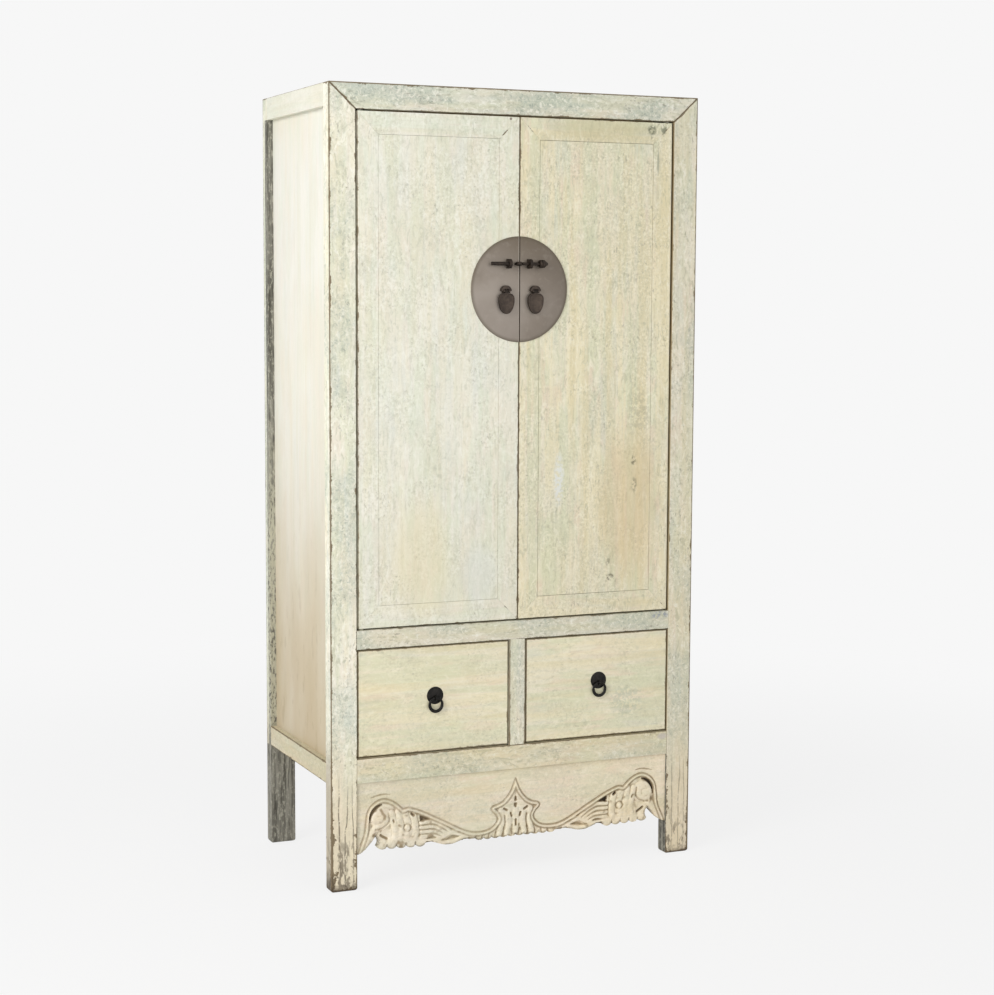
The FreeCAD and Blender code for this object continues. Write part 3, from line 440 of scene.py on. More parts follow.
def dark_metal(name, deep, rubbed, roughness, metallic):
    """Old metal: a faint random mottle between a dark tone and a lighter one."""
    finish = Finish(name)
    place = finish.place()
    mottle = finish.noise(place, 140, 4, 0.6)
    cloud = finish.noise(place, 26, 3)
    fine = finish.noise(place, 900, 2)
    colour = finish.mix((mottle * 0.6 + cloud * 0.5).rise(0.4, 0.74), tone(deep), tone(rubbed))
    finish.feed(base_color=colour, roughness=(mottle - 0.5) * 0.25 + roughness)
    finish.set(metallic=metallic)
    finish.dents(mottle * 0.7 + fine * 0.3, 0.3, 0.0004)
    return finish.material


def lock_metal():
    """The big round plate: a dull taupe sheen, with painted light towards its left, painted shade round its
    rim and towards its top, and a painted highlight and painted shade at the seam.
    """
    finish = Finish("plate_metal")
    place = finish.place()
    x, _, z = finish.parts(place)
    plate_low, plate_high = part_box("lock_plate_left")
    up = z - (plate_low.z + plate_high.z) / 2
    radius = -plate_low.x
    rim = (x * x + up * up).math("SQRT").rise(radius * 0.92, radius)
    cloud = finish.noise(place, 11, 3)
    mottle = finish.noise(place, 70, 3, 0.55)
    # Painted light: the plate is lighter towards its left.
    colour = finish.mix((x * -3.0 + cloud * 1.2).rise(0.2, 1.0), tone("7a7065"), tone("978e85"))
    # Painted shade towards the top of the plate.
    colour = finish.mix((up * 5.0 + cloud).rise(0.5, 1.2) * 0.9, colour, tone("685d4e"))
    colour = finish.mix(mottle.rise(0.5, 0.75) * 0.22, colour, tone("a29a90"))
    # Painted shade round the rim.
    colour = finish.mix(rim * (cloud * 0.5 + 0.35), colour, tone("5b5243"))
    # A painted highlight on the left plate's edge beside the seam.
    seam_highlight = abs(x + 2.6 * MM).fall(0.4 * MM, 1.6 * MM)
    colour = finish.mix(seam_highlight * 0.5, colour, tone("b5aca1"))
    # Painted shade: a dark line along the seam.
    colour = finish.mix(abs(x).fall(0.8 * MM, 1.8 * MM) * 0.8, colour, tone("3b3128"))
    finish.feed(base_color=colour, roughness=(mottle - 0.5) * 0.12 + 0.5)
    finish.set(metallic=0.55)
    finish.dents(mottle, 0.15, 0.0005)
    return finish.material


PAINT = worn_paint()
BARE_X = bare_wood("bare_wood_across", ACROSS)
BARE_Y = bare_wood("bare_wood_deep", DEEP)
GAP_WOOD = bare_wood("brown_gap_wood", UP, (0.9, 1.08, 1.3))
WEATHERED = weathered_wood()
CARVED = carved_paint()
PLATE = lock_metal()
BRASS = dark_metal("dark_aged_brass", "1d1611", "3d3229", 0.45, 0.6)
# A lighter copy of the dark brass for the front faces of pulls and bosses: painted light on the fronts, with
# the darker edges as painted shade.
PULL_FACE = dark_metal("brass_painted_lit_front", "372d26", "53473d", 0.5, 0.5)
IRON = dark_metal("black_iron", "100f0e", "282522", 0.42, 0.7)


def select_only(*pieces):
    """Selects these pieces alone, the last one active."""
    bpy.ops.object.select_all(action="DESELECT")
    for piece in pieces:
        piece.select_set(True)
    bpy.context.view_layer.objects.active = pieces[-1]


def settle(piece, name):
    """Names a new piece and puts its place, turn and size into its mesh."""
    piece.name = name
    piece.data.name = name
    select_only(piece)
    bpy.ops.object.transform_apply(location=True, rotation=True, scale=True)
    return piece


def block(name, low, high):
    """A plain block between two corners, the start of a board."""
    low = Vector(low)
    high = Vector(high)
    bpy.ops.object.select_all(action="DESELECT")
    bpy.ops.mesh.primitive_cube_add(size=1, location=(low + high) / 2)
    piece = bpy.context.object
    piece.scale = high - low
    return settle(piece, name)


def open_mesh(piece, action="SELECT"):
    """Opens a piece for work on its mesh, with all or nothing of it selected."""
    select_only(piece)
    bpy.ops.object.mode_set(mode="EDIT")
    bpy.ops.mesh.select_all(action=action)


def close_mesh(outward=False):
    """Ends the work on a mesh, after turning all its faces outward if asked."""
    if outward:
        bpy.ops.mesh.select_all(action="SELECT")
        bpy.ops.mesh.normals_make_consistent(inside=False)
    bpy.ops.object.mode_set(mode="OBJECT")


def clear_choice(piece, kind):
    """Leaves nothing selected on a piece, so that its edges or faces can be chosen."""
    open_mesh(piece, "DESELECT")
    bpy.ops.mesh.select_mode(type=kind)
    close_mesh()


def saw(piece, point, normal, through=True):
    """Cuts away what lies beyond a plane and closes the cut, or only scores a line where the plane passes."""
    open_mesh(piece)
    bpy.ops.mesh.bisect(plane_co=point, plane_no=normal, use_fill=through, clear_outer=through)
    close_mesh()


def apply_modifier(piece, kind, **settings):
    """Adds a modifier, sets it and applies it."""
    modifier = piece.modifiers.new(kind.lower(), kind)
    for key, value in settings.items():
        setattr(modifier, key, value)
    select_only(piece)
    bpy.ops.object.modifier_apply(modifier=modifier.name)


def round_edges(piece, chosen, width, segments):
    """Rounds the edges whose two ends a test chooses."""
    clear_choice(piece, "EDGE")
    points = piece.data.vertices
    for line in piece.data.edges:
        line.select = all(chosen(points[i].co) for i in line.vertices)
    bpy.ops.object.mode_set(mode="EDIT")
    bpy.ops.mesh.bevel(offset=width, segments=segments, affect="EDGES")
    bpy.ops.mesh.select_mode(type="VERT")
    close_mesh()


def ease(piece, width, segments=2, angle=35):
    """Rounds the sharp edges."""
    apply_modifier(
        piece, "BEVEL", width=width, segments=segments, limit_method="ANGLE", angle_limit=math.radians(angle)
    )


def smooth(piece, angle=35):
    select_only(piece)
    bpy.ops.object.shade_smooth_by_angle(angle=math.radians(angle))


def flat_faces(piece):
    """Keeps broad faces flat in the light where they meet rounded edges."""
    apply_modifier(piece, "WEIGHTED_NORMAL", keep_sharp=True, weight=80)
    return piece


def join(name, *pieces):
    """Joins pieces into the last one."""
    select_only(*pieces)
    bpy.ops.object.join()
    piece = bpy.context.object
    piece.name = name
    piece.data.name = name
    return piece


def mark(piece, name, value):
    """Gives every point of a piece the same three numbers."""
    layer = piece.data.attributes.new(name, "FLOAT_VECTOR", "POINT")
    layer.data.foreach_set("vector", list(value) * len(piece.data.vertices))


def cover(piece, material):
    piece.data.materials.clear()
    piece.data.materials.append(material)


def assign_faces(piece, material, chosen):
    """Gives the faces that a test chooses another finish."""
    piece.data.materials.append(material)
    slot = len(piece.data.materials) - 1
    for face in piece.data.polygons:
        if chosen(face):
            face.material_index = slot


def hand_over(piece, body, node):
    """Sets a finished piece on its body, in place of its CAD node."""
    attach(piece, body)
    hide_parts(node)
    return piece


def dress(piece, material, angle, body, node):
    """Covers a piece, smooths its faces that meet within an angle in degrees and hands it over."""
    cover(piece, material)
    smooth(piece, angle)
    return hand_over(piece, body, node)


class Look:
    """How one board's paint has aged.

    Tints are its patches of green, pink and blue. Foot is how far a leg has faded and is darkened by painted
    shade on its left side, and how far it has split and blotted.
    """
    count = 0

    def __init__(
        self, paint, tints, teal=0.0, specks=0.6, wear=1.0, stain=0.0, foot=(0, 0, 0), seed=None, flow=None
    ):
        self.paint = tone(paint)
        self.tints = tints
        self.look = (teal, specks, wear)
        self.stain = stain
        self.foot = foot
        self.seed = seed
        self.flow = flow

    def next_seed(self):
        """The look's own seed, or one that differs from board to board."""
        Look.count += 1
        return Look.count * SEED_STEP if self.seed is None else self.seed


SEED_STEP = 0.173
NO_MITRES = [1.0, 1.0, 1.0]
PIVOT = Vector((400 * MM, -231.5 * MM, 0))
PIVOT_RADIUS = 7 * MM
HINGE_ROUND = 4 * MM
FOOT_ROUND = 7 * MM
OPEN_MITRE = 0.9 * MM
DOOR_MITRE = 2.7 * MM
BOARD_EDGE = 1.3 * MM
POST_EDGE = 1.6 * MM
LEAF_EDGE = 0.6 * MM
PANEL_EDGE = 0.4 * MM
PANEL_GROOVE = 8 * MM
PANEL_STEP = 7 * MM
PANEL_LAPS = {"left": 8.45 * MM, "right": 8.75 * MM}
HINGE_SHELTERS = {"left": 0.0, "right": 0.6}
MEETING_SHELTER = 0.25
GREY_STRIP = 16 * MM
PLANK_COUNT = 5
PLANK_GAP = 0.6 * MM
APRON_THICKNESS = 18 * MM
APRON_RELIEF = 3 * MM
APRON_CELL = 1.6 * MM
LOBE_START = (362, 100)
LOBE_END = (240, 96)
LOBE_COUNT = 5
TOP_LOOK = Look("e0ddcd", (0.6, 0.4, 0.7), teal=1.0, specks=1.0, wear=0.8)
TOP_RAIL_LOOK = Look("e1decf", (0.6, 0.4, 0.7), teal=1.0, specks=1.0, wear=1.0)
MIDDLE_RAIL_LOOK = Look("ddd7c5", (0.6, 0.3, 0.5), teal=0.8, specks=1.0, wear=0.8)
DIVIDER_LOOK = Look("e5decb", (0.5, 0.4, 0.4), teal=0.7, specks=1.0, wear=0.7)
LOW_RAIL_LOOK = Look("dfd6bd", (0.6, 0.5, 0.5), teal=0.55, specks=0.9, wear=0.7)
REAR_POST_LOOK = Look("e0ddcc", (0.6, 0.4, 0.7), teal=0.9, specks=1.0, wear=0.9, foot=(0.8, 0.5, 0.5))
# The left front post is painted paler than the right one: partly painted light from the left, partly the
# right post's own yellower paint.
FRONT_POST_LOOKS = {
    "left": Look("efebdc", (0.6, 0.4, 0.8), teal=0.7, specks=1.0, wear=1.1, foot=(1.0, 1.0, 1.0)),
    "right": Look("e3dcc9", (0.6, 0.5, 0.6), teal=0.65, specks=1.0, wear=1.0, foot=(0.9, 0.6, 0.9)),
}
SIDE_TOP_LOOK = Look("e3e1d5", (0.3, 0.2, 0.3), teal=0.1, specks=0.2, wear=0.35)
SIDE_FOOT_LOOK = Look("cfc4a9", (0.5, 0.5, 0.4), teal=0.3, specks=0.6, wear=0.7)
SIDE_PANEL_LOOK = Look("e6e4db", (0.2, 0.2, 0.15), specks=0.05, wear=0.25, stain=1.0)
DOOR_LOOKS = {
    "left": Look(
        "eceade", (0.5, 0.35, 0.35), teal=0.2, specks=0.6, wear=0.7, stain=0.15, seed=0.31, flow=UP
    ),
    "right": Look(
        "e9e2cb", (0.75, 0.85, 0.65), teal=0.25, specks=0.8, wear=0.7, stain=0.15, seed=0.77, flow=UP
    ),
}
DRAWER_LOOK = Look("eae2ca", (0.7, 0.65, 0.65), teal=0.2, specks=0.4, wear=0.7)
BACK_LOOK = Look("d8cfb8", (0.6, 0.5, 0.5), teal=0.3, specks=0.8, wear=0.7)


def board(name, low, high, grain, look, mitres=(), edge=BOARD_EDGE, tight=None, work=None, closed=SHELTER):
    """A painted board between two corners, sawn at its mitres, with eased edges and its own paint marks.

    Tight gives the sides, low ones and high ones, whose edges meet a neighbour and wear less.
    Work is anything else done to the block before its edges are eased.
    Closed says how much the mitres are kept from wear.
    """
    low = Vector(low)
    high = Vector(high)
    piece = block(name, low, high)
    if work:
        work(piece)
    for point, normal in mitres:
        saw(piece, point, normal)
    ease(piece, edge)
    tight_low, tight_high = tight or ((0, 0, 0), (0, 0, 0))
    low = low - Vector(tight_low) * SHELTER
    high = high + Vector(tight_high) * SHELTER
    marks = {
        "middle": (low + high) / 2, "half": (high - low) / 2, "grain": grain, "flow": look.flow or grain,
        "tints": look.tints, "paint": look.paint, "look": look.look, "foot": look.foot,
        "extra": (look.stain, look.next_seed(), 0),
    }
    for key, value in marks.items():
        mark(piece, key, value)
    distances = []
    for vertex in piece.data.vertices:
        reach = [normal.normalized().dot(point - vertex.co) + closed for point, normal in mitres]
        distances.extend((reach + NO_MITRES)[:3])
    piece.data.attributes.new("mitre", "FLOAT_VECTOR", "POINT").data.foreach_set("vector", distances)
    cover(piece, PAINT)
    smooth(piece)
    return flat_faces(piece)


def box_board(node, body, grain, look, **details):
    """A board in the place of one CAD node."""
    low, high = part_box(node)
    piece = board(node + "_board", low, high, grain, look, **details)
    return hand_over(piece, body, node)


def turned(name, start, axis, profile, sides=40):
    """A round piece: rings set out along an axis by their places and radii, closed at both ends."""
    start = Vector(start)
    place, radius = profile[0]
    bpy.ops.object.select_all(action="DESELECT")
    bpy.ops.mesh.primitive_circle_add(
        vertices=sides, radius=radius, fill_type="NGON", location=start + axis * place,
        rotation=axis.to_track_quat("Z", "Y").to_euler(),
    )
    piece = settle(bpy.context.object, name)
    open_mesh(piece)
    for along, wanted in profile[1:]:
        bpy.ops.mesh.extrude_region_move(TRANSFORM_OT_translate={"value": axis * (along - place)})
        if wanted != radius:
            bpy.ops.transform.resize(value=(wanted / radius,) * 3, center_override=start + axis * along)
        place, radius = along, wanted
    close_mesh(outward=True)
    return piece


def mirror_x(vector, side):
    return Vector((vector[0] * side, vector[1], vector[2]))


def door_pegs(side, word, bottom, top):
    """The two round pivots of one door, each from inside the stile to its own end."""
    low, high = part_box(f"door_{word}_hinge_stile")
    root = 10 * MM
    tip = 1.2 * MM
    thin = PIVOT_RADIUS - tip
    pegs = []
    for name, start, end in (("lower", low.z, bottom + root), ("upper", top - root, high.z)):
        foot = Vector((PIVOT.x * side, PIVOT.y, start))
        rise = end - start
        profile = [(0, thin), (tip, PIVOT_RADIUS), (rise - tip, PIVOT_RADIUS), (rise, thin)]
        peg = turned(f"door_{word}_{name}_pivot", foot, UP, profile)
        cover(peg, WEATHERED)
        pegs.append(peg)
    return pegs


def pivot_holes(rail):
    """Bores a front rail where the doors' pivots turn in it."""
    spare = 0.2 * MM
    low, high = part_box("door_left_hinge_stile")
    rise = high.z - low.z + 2 * spare
    for side, _ in SIDES:
        foot = Vector((PIVOT.x * side, PIVOT.y, low.z - spare))
        bore = turned("pivot_bore", foot, UP, [(0, PIVOT_RADIUS + spare), (rise, PIVOT_RADIUS + spare)])
        apply_modifier(rail, "BOOLEAN", operation="DIFFERENCE", solver="EXACT", object=bore)
        bpy.data.objects.remove(bore)


def make_posts(heel, to_rail):
    """The four posts, mitred to the top rails, with unpainted grey wood on the rear legs and inside the right
    front leg, and a grey strip down the front of each rear post's outer side.
    """
    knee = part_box("rail_bottom_left")[0].z
    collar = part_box("rail_top_left")[0].z
    panel_low, panel_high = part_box("side_panel_right")
    panel_x = (panel_low.x + panel_high.x) / 2
    shelters = {"left": ((0.2, 0, 0), (0.6, 1, 0)), "right": ((0.85, 0, 0), (0, 1, 0))}

    def shape_front(post):
        round_edges(post, lambda place: place.z < NEAR, FOOT_ROUND, 4)
        saw(post, (0, 0, knee), UP, through=False)

    for side, word in SIDES:
        joint = {
            "mitres": [(mirror_x(heel, side), mirror_x(to_rail, side))],
            "edge": POST_EDGE,
            "closed": OPEN_MITRE,
        }
        post = box_board(
            "post_front_" + word, "carcass", UP, FRONT_POST_LOOKS[word],
            tight=shelters[word], work=shape_front, **joint,
        )
        if word == "right":
            assign_faces(post, WEATHERED, lambda face: face.normal.x < -0.9 and face.center.z < knee)
            assign_faces(post, GAP_WOOD, lambda face: face.normal.x < -0.9 and face.center.z > knee)
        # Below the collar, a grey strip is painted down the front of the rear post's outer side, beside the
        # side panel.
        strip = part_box("post_rear_" + word)[0].y + GREY_STRIP

        def shape_rear(post):
            shape_front(post)
            saw(post, (0, 0, collar), UP, through=False)
            saw(post, (0, strip, 0), DEEP, through=False)
            saw(post, (panel_x * side, 0, 0), ACROSS, through=False)

        def is_grey(face):
            outside = face.center.x * side > panel_x and face.center.y < strip
            return face.center.z < knee or face.center.z < collar and outside

        post = box_board(
            "post_rear_" + word, "carcass", UP, REAR_POST_LOOK,
            tight=((0, 1, 0), (0, 0, 0)), work=shape_rear, **joint,
        )
        assign_faces(post, WEATHERED, is_grey)


def make_frame():
    """Posts, rails and divider."""
    rail_low, rail_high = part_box("rail_top_front")
    heel = Vector((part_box("post_front_right")[0].x, 0, rail_low.z))
    slope = Vector((rail_high.x, 0, rail_high.z)) - heel
    to_rail = Vector((-slope.z, 0, slope.x))
    make_posts(heel, to_rail)
    both = [(mirror_x(heel, side), -mirror_x(to_rail, side)) for side, _ in SIDES]
    for node, bores in (("rail_top_front", pivot_holes), ("rail_top_rear", None)):
        box_board(
            node, "carcass", ACROSS, TOP_RAIL_LOOK,
            mitres=both, tight=((0, 0, 0.5), (0, 0, 0)), work=bores, closed=OPEN_MITRE,
        )
    around = ((1, 0, 0.5), (1, 0, 0.5))
    box_board("rail_middle_front", "carcass", ACROSS, MIDDLE_RAIL_LOOK, tight=around, work=pivot_holes)
    for node in ("rail_bottom_front", "rail_bottom_rear"):
        box_board(node, "carcass", ACROSS, LOW_RAIL_LOOK, tight=((1, 0, 1), (1, 0, 0)))
    for _, word in SIDES:
        box_board("rail_top_" + word, "carcass", DEEP, SIDE_TOP_LOOK, tight=((0, 1, 1), (0, 1, 0)))
        box_board("rail_bottom_" + word, "carcass", DEEP, SIDE_FOOT_LOOK, tight=((0, 1, 0), (0, 1, 0)))
    box_board("drawer_divider", "carcass", UP, DIVIDER_LOOK, tight=((0, 0, 1), (0, 0, 1)))


def make_panels():
    """The top, the side panels and the back boards."""
    box_board("top_panel", "carcass", ACROSS, TOP_LOOK)
    for _, word in SIDES:
        box_board("side_panel_" + word, "carcass", UP, SIDE_PANEL_LOOK)
    low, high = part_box("back_boards")
    pitch = (high.x - low.x + PLANK_GAP) / PLANK_COUNT
    planks = []
    for index in range(PLANK_COUNT):
        x = low.x + index * pitch
        plank_low = (x, low.y, low.z)
        plank_high = (x + pitch - PLANK_GAP, high.y, high.z)
        planks.append(board(f"plank_{index}", plank_low, plank_high, UP, BACK_LOOK))
    back = flat_faces(join("back_boards_planks", *planks))
    hand_over(back, "carcass", "back_boards")


class Leaf:
    """One door leaf: mitred stiles and rails round a flush panel."""

    def __init__(self, side, word):
        self.side = side
        self.word = word
        self.body = "door_" + word
        self.look = DOOR_LOOKS[word]
        self.low, self.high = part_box(self.body + "_top_rail")
        self.low.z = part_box(self.body + "_bottom_rail")[0].z
        self.panel_low, self.panel_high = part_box(self.body + "_panel")

    def mitre(self, x_side, z_side, towards):
        """The cut at one corner: a place on it and the direction of what is cut away."""
        groove = Vector((PANEL_GROOVE, 0, PANEL_GROOVE))
        outer, inner = [
            Vector((low.x if x_side < 0 else high.x, 0, low.z if z_side < 0 else high.z))
            for low, high in (
                (self.low, self.high), (self.panel_low + groove, self.panel_high - groove)
            )
        ]
        slope = outer - inner
        normal = Vector((-slope.z, 0, slope.x))
        if normal.dot(towards) < 0:
            normal = -normal
        return outer, normal

    def round_hinge(self, piece):
        """Rounds the front edge that turns beside the post."""
        hinge_x = self.low.x if self.side < 0 else self.high.x

        def at_hinge(place):
            return abs(place.x - hinge_x) < NEAR and abs(place.y - self.low.y) < NEAR

        round_edges(piece, at_hinge, HINGE_ROUND, 6)

    def bar(self, node, low, high, grain, cuts, tight, work):
        """One board of the leaf's frame."""
        return board(node + "_board", low, high, grain, self.look, cuts, LEAF_EDGE, tight, work, DOOR_MITRE)

    def make_hinge_stile(self):
        node = self.body + "_hinge_stile"
        piece = self.stile(node, self.side, HINGE_SHELTERS[self.word], self.round_hinge)
        pegs = door_pegs(self.side, self.word, self.low.z, self.high.z)
        piece = flat_faces(join(piece.name, *pegs, piece))
        hand_over(piece, self.body, node)

    def make_meeting_stile(self):
        node = self.body + "_meeting_stile"
        piece = self.stile(node, -self.side, MEETING_SHELTER, None)
        hand_over(piece, self.body, node)

    def stile(self, node, x_side, shelter, work):
        """An upright of the leaf; the shelter is that of its outer edge."""
        low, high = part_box(node)
        low.z = self.low.z
        high.z = self.high.z
        cuts = [self.mitre(x_side, -1, -UP), self.mitre(x_side, 1, UP)]
        tight = ((1, 0, 0.6), (shelter, 0, 0.6)) if x_side > 0 else ((shelter, 0, 0.6), (1, 0, 0.6))
        return self.bar(node, low, high, UP, cuts, tight, work)

    def make_rails(self):
        for part, z_side in (("_top_rail", 1), ("_bottom_rail", -1)):
            node = self.body + part
            low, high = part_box(node)
            cuts = [self.mitre(-1, z_side, -ACROSS), self.mitre(1, z_side, ACROSS)]
            tight = ((0, 0, 1), (0, 0, 0.6)) if z_side > 0 else ((0, 0, 0.6), (0, 0, 1))
            piece = self.bar(node, low, high, ACROSS, cuts, tight, self.round_hinge)
            hand_over(piece, self.body, node)

    def make_panel(self):
        """The flush panel, whose tongue runs in the grooves of the frame."""
        node = self.body + "_panel"
        lap = Vector((PANEL_LAPS[self.word], 0, PANEL_LAPS[self.word]))
        step = Vector((0, PANEL_STEP, 0))
        face = board(
            node + "_face", self.panel_low + lap, self.panel_high - lap, UP, self.look,
            edge=PANEL_EDGE, tight=((1, 0, 1), (1, 0, 1)),
        )
        tongue = board(node + "_tongue", self.panel_low + step, self.panel_high, UP, self.look)
        piece = flat_faces(join(node + "_board", tongue, face))
        hand_over(piece, self.body, node)


def make_doors():
    for side, word in SIDES:
        leaf = Leaf(side, word)
        leaf.make_hinge_stile()
        leaf.make_meeting_stile()
        leaf.make_rails()
        leaf.make_panel()


def make_drawers():
    for _, word in SIDES:
        box_board(f"drawer_{word}_front", "drawer_" + word, ACROSS, DRAWER_LOOK)


def finish_inside():
    """The plain inner boards keep their solids and get bare wood."""
    across = ["compartment_floor", "shelf", "door_stops", "rail_middle_rear"]
    deep = ["shelf_bearers", "drawer_runners"]
    for _, word in SIDES:
        across += [f"door_{word}_battens", f"drawer_{word}_back", f"drawer_{word}_bottom"]
        deep += [f"drawer_{word}_sides"]
    for material, names in ((BARE_X, across), (BARE_Y, deep)):
        for name in names:
            cover(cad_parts[name], material)


def flowing(points, steps=7):
    """A smooth run through given places, both ends included."""
    spots = np.array(points, float)
    padded = np.vstack([2 * spots[0] - spots[1], spots, 2 * spots[-1] - spots[-2]])
    share = np.linspace(0, 1, steps, endpoint=False)[:, None]
    run = []
    for a, b, c, d in zip(padded, padded[1:], padded[2:], padded[3:]):
        bend = (2 * a - 5 * b + 4 * c - d) * share ** 2 + (3 * b - a - 3 * c + d) * share ** 3
        run.append(b + 0.5 * ((c - a) * share + bend))
    return np.vstack(run + [spots[-1:]])


def scallops(start, end, count, depth):
    """Round lobes hanging between two places."""
    start = np.array(start, float)
    end = np.array(end, float)
    turn = np.linspace(0, math.pi, 10)[:-1]
    run = []
    for index in range(count):
        share = (index + (1 - np.cos(turn)) / 2) / count
        spots = start + (end - start) * share[:, None]
        spots[:, 1] -= depth * np.sin(turn)
        run.append(spots)
    return np.vstack(run + [end[None, :]])


def within(outline, x, z):
    """Which places lie inside a closed outline."""
    inside = np.zeros(x.shape, bool)
    for (x0, z0), (x1, z1) in zip(outline, np.roll(outline, -1, axis=0)):
        if z0 != z1:
            inside ^= ((z0 > z) != (z1 > z)) & (x < (x1 - x0) * (z - z0) / (z1 - z0) + x0)
    return inside


def nearest(run, x, z):
    """The distance of places from a run, the nearest spots on it, and how far along it they are."""
    best = np.full(x.shape, np.inf)
    spot_x = x.copy()
    spot_z = z.copy()
    along = np.zeros(x.shape)
    for index, ((x0, z0), (x1, z1)) in enumerate(zip(run, run[1:])):
        length = max((x1 - x0) ** 2 + (z1 - z0) ** 2, 1e-9)
        share = np.clip(((x - x0) * (x1 - x0) + (z - z0) * (z1 - z0)) / length, 0, 1)
        near_x = x0 + (x1 - x0) * share
        near_z = z0 + (z1 - z0) * share
        distance = np.hypot(x - near_x, z - near_z)
        closer = distance < best
        best[closer] = distance[closer]
        spot_x[closer] = near_x[closer]
        spot_z[closer] = near_z[closer]
        along[closer] = (index + share[closer]) / (len(run) - 1)
    return best, spot_x, spot_z, along


class Carving:
    """A sheet of heights, in millimetres, that strokes are worked into; both halves are alike."""

    def __init__(self, x, z):
        self.x = np.abs(x)
        self.z = z
        self.height = np.zeros(x.shape)
        # The cut sheet says how dark each cut is painted, as shade and dirt, from zero to one.
        self.cut = np.zeros(x.shape)

    def around(self, run, reach):
        run = np.asarray(run, float)
        low = run.min(axis=0) - reach
        high = run.max(axis=0) + reach
        return (self.x > low[0]) & (self.x < high[0]) & (self.z > low[1]) & (self.z < high[1])

    def stroke(self, points, width, taper=False):
        """Where a stroke reaches, and how strongly: one on its line, zero at its side."""
        run = flowing(points) if len(points) > 2 else np.array(points, float)
        chosen = self.around(run, width)
        distance, _, _, along = nearest(run, self.x[chosen], self.z[chosen])
        if taper:
            width = width * (0.3 + 0.7 * np.sin(np.clip(along, 0.02, 0.98) * math.pi))
        return chosen, np.clip(1 - (distance / width) ** 2, 0, 1)

    def groove(self, points, width, depth, dark=0.0, taper=False):
        chosen, share = self.stroke(points, width, taper)
        self.height[chosen] -= depth * share
        self.cut[chosen] = np.maximum(self.cut[chosen], dark * np.sqrt(share))

    def ridge(self, points, width, top):
        """A rounded band that stands up to a height where it is higher than what is there."""
        chosen, share = self.stroke(points, width)
        there = self.height[chosen]
        lifted = there + (top - there) * np.sqrt(share)
        self.height[chosen] = np.where(share > 0, np.maximum(there, lifted), there)

    def dome(self, centre, radius, top):
        far = np.hypot(self.x - centre[0], self.z - centre[1]) / radius
        share = np.sqrt(np.clip(1 - far ** 2, 0, 1))
        self.height = np.where(far < 1, self.height + (top - self.height) * share, self.height)

    def pillow(self, points, top, shoulder):
        """A leaf: a closed outline filled with a rounded cushion."""
        outline = flowing(list(points) + [points[0]])
        inside = within(outline, self.x, self.z)
        distance = nearest(outline, self.x[inside], self.z[inside])[0]
        share = np.sqrt(np.clip(1 - (1 - np.clip(distance / shoulder, 0, 1)) ** 2, 0, 1))
        self.height[inside] += (top - self.height[inside]) * share

    def pit(self, points, depth):
        """A dark cut with a closed outline."""
        outline = np.array(points, float)
        inside = within(outline, self.x, self.z)
        distance = nearest(np.vstack([outline, outline[:1]]), self.x[inside], self.z[inside])[0]
        self.height[inside] -= depth * np.clip(distance / 1.5, 0, 1)
        self.cut[inside] = np.maximum(self.cut[inside], np.clip(0.5 + distance / 3, 0, 1))


def apron_edge():
    """The lower outline of the apron's right half, from the post to the middle, in millimetres."""
    return np.vstack([
        flowing([(415, 85), (403, 89), (391, 98), (378, 111), (366, 126)]),
        flowing([(366, 126), (360, 117), (358, 108), (362, 100)]),
        scallops(LOBE_START, LOBE_END, LOBE_COUNT, 8),
        flowing([(240, 96), (222, 97), (205, 92), (188, 87), (169, 87), (150, 92), (132, 95)]),
        flowing([(132, 95), (120, 93), (106, 93)]),
        scallops((106, 93), (0, 94), 5, 5),
    ])


def apron_bead():
    """The raised line round the carving, from the post to the pointed crest in the middle."""
    return np.vstack([
        flowing([(414, 84), (404, 108), (394, 134), (391, 160), (387, 184), (377, 200), (361, 211),
                 (342, 214), (323, 207), (309, 197), (296, 185)]),
        flowing([(296, 185), (282, 187), (265, 182), (241, 172), (216, 159), (191, 146), (166, 132),
                 (141, 119), (116, 110), (92, 108), (70, 112), (55, 122), (48, 135), (53, 147), (62, 156),
                 (65, 163), (59, 169), (46, 172), (30, 181), (13, 202), (0, 233)]),
    ])


def carve_bead(carving, edge):
    """Lowers the ground inside the bead and raises the bead between its two grooves."""
    bead = apron_bead()
    inside = within(np.vstack([bead, edge[::-1]]), carving.x, carving.z)
    distance = nearest(bead, carving.x, carving.z)[0]
    signed = np.where(inside, distance, -distance)
    width = 9.0
    carving.height -= 2.6 * np.clip((signed - width) / 3, 0, 1)
    crown = np.clip(1 - ((signed - width / 2) / (width / 2)) ** 2, 0, 1)
    carving.height += 2.2 * np.sqrt(crown)
    for line in (0.0, width):
        share = np.clip(1 - ((signed - line) / 3.5) ** 2, 0, 1)
        carving.height -= 2.2 * share
        carving.cut = np.maximum(carving.cut, 0.46 * share)
    return inside & (distance > width)


def carve_scroll(carving):
    """The round scroll by the leg, its tail and the cuts round it."""
    carving.ridge([(366, 145), (380, 124), (394, 106), (410, 92)], 10, 1.6)
    carving.dome((351, 167), 28, 2.6)
    carving.groove([(366, 141), (350, 143), (337, 152), (331, 163), (333, 178)], 3.6, 3.0, 0.3)
    carving.groove([(366, 154), (354, 156), (347, 164), (351, 173), (361, 173)], 2.6, 1.2)
    carving.groove([(381, 160), (379, 176), (372, 188), (362, 196), (350, 200)], 5.4, 9.0, 1.0, taper=True)
    carving.groove([(353, 126), (346, 121), (337, 116)], 3.4, 5.0, 0.85)
    carving.groove([(378, 220), (362, 224), (346, 226), (330, 224)], 2.6, 1.8, 0.5, taper=True)


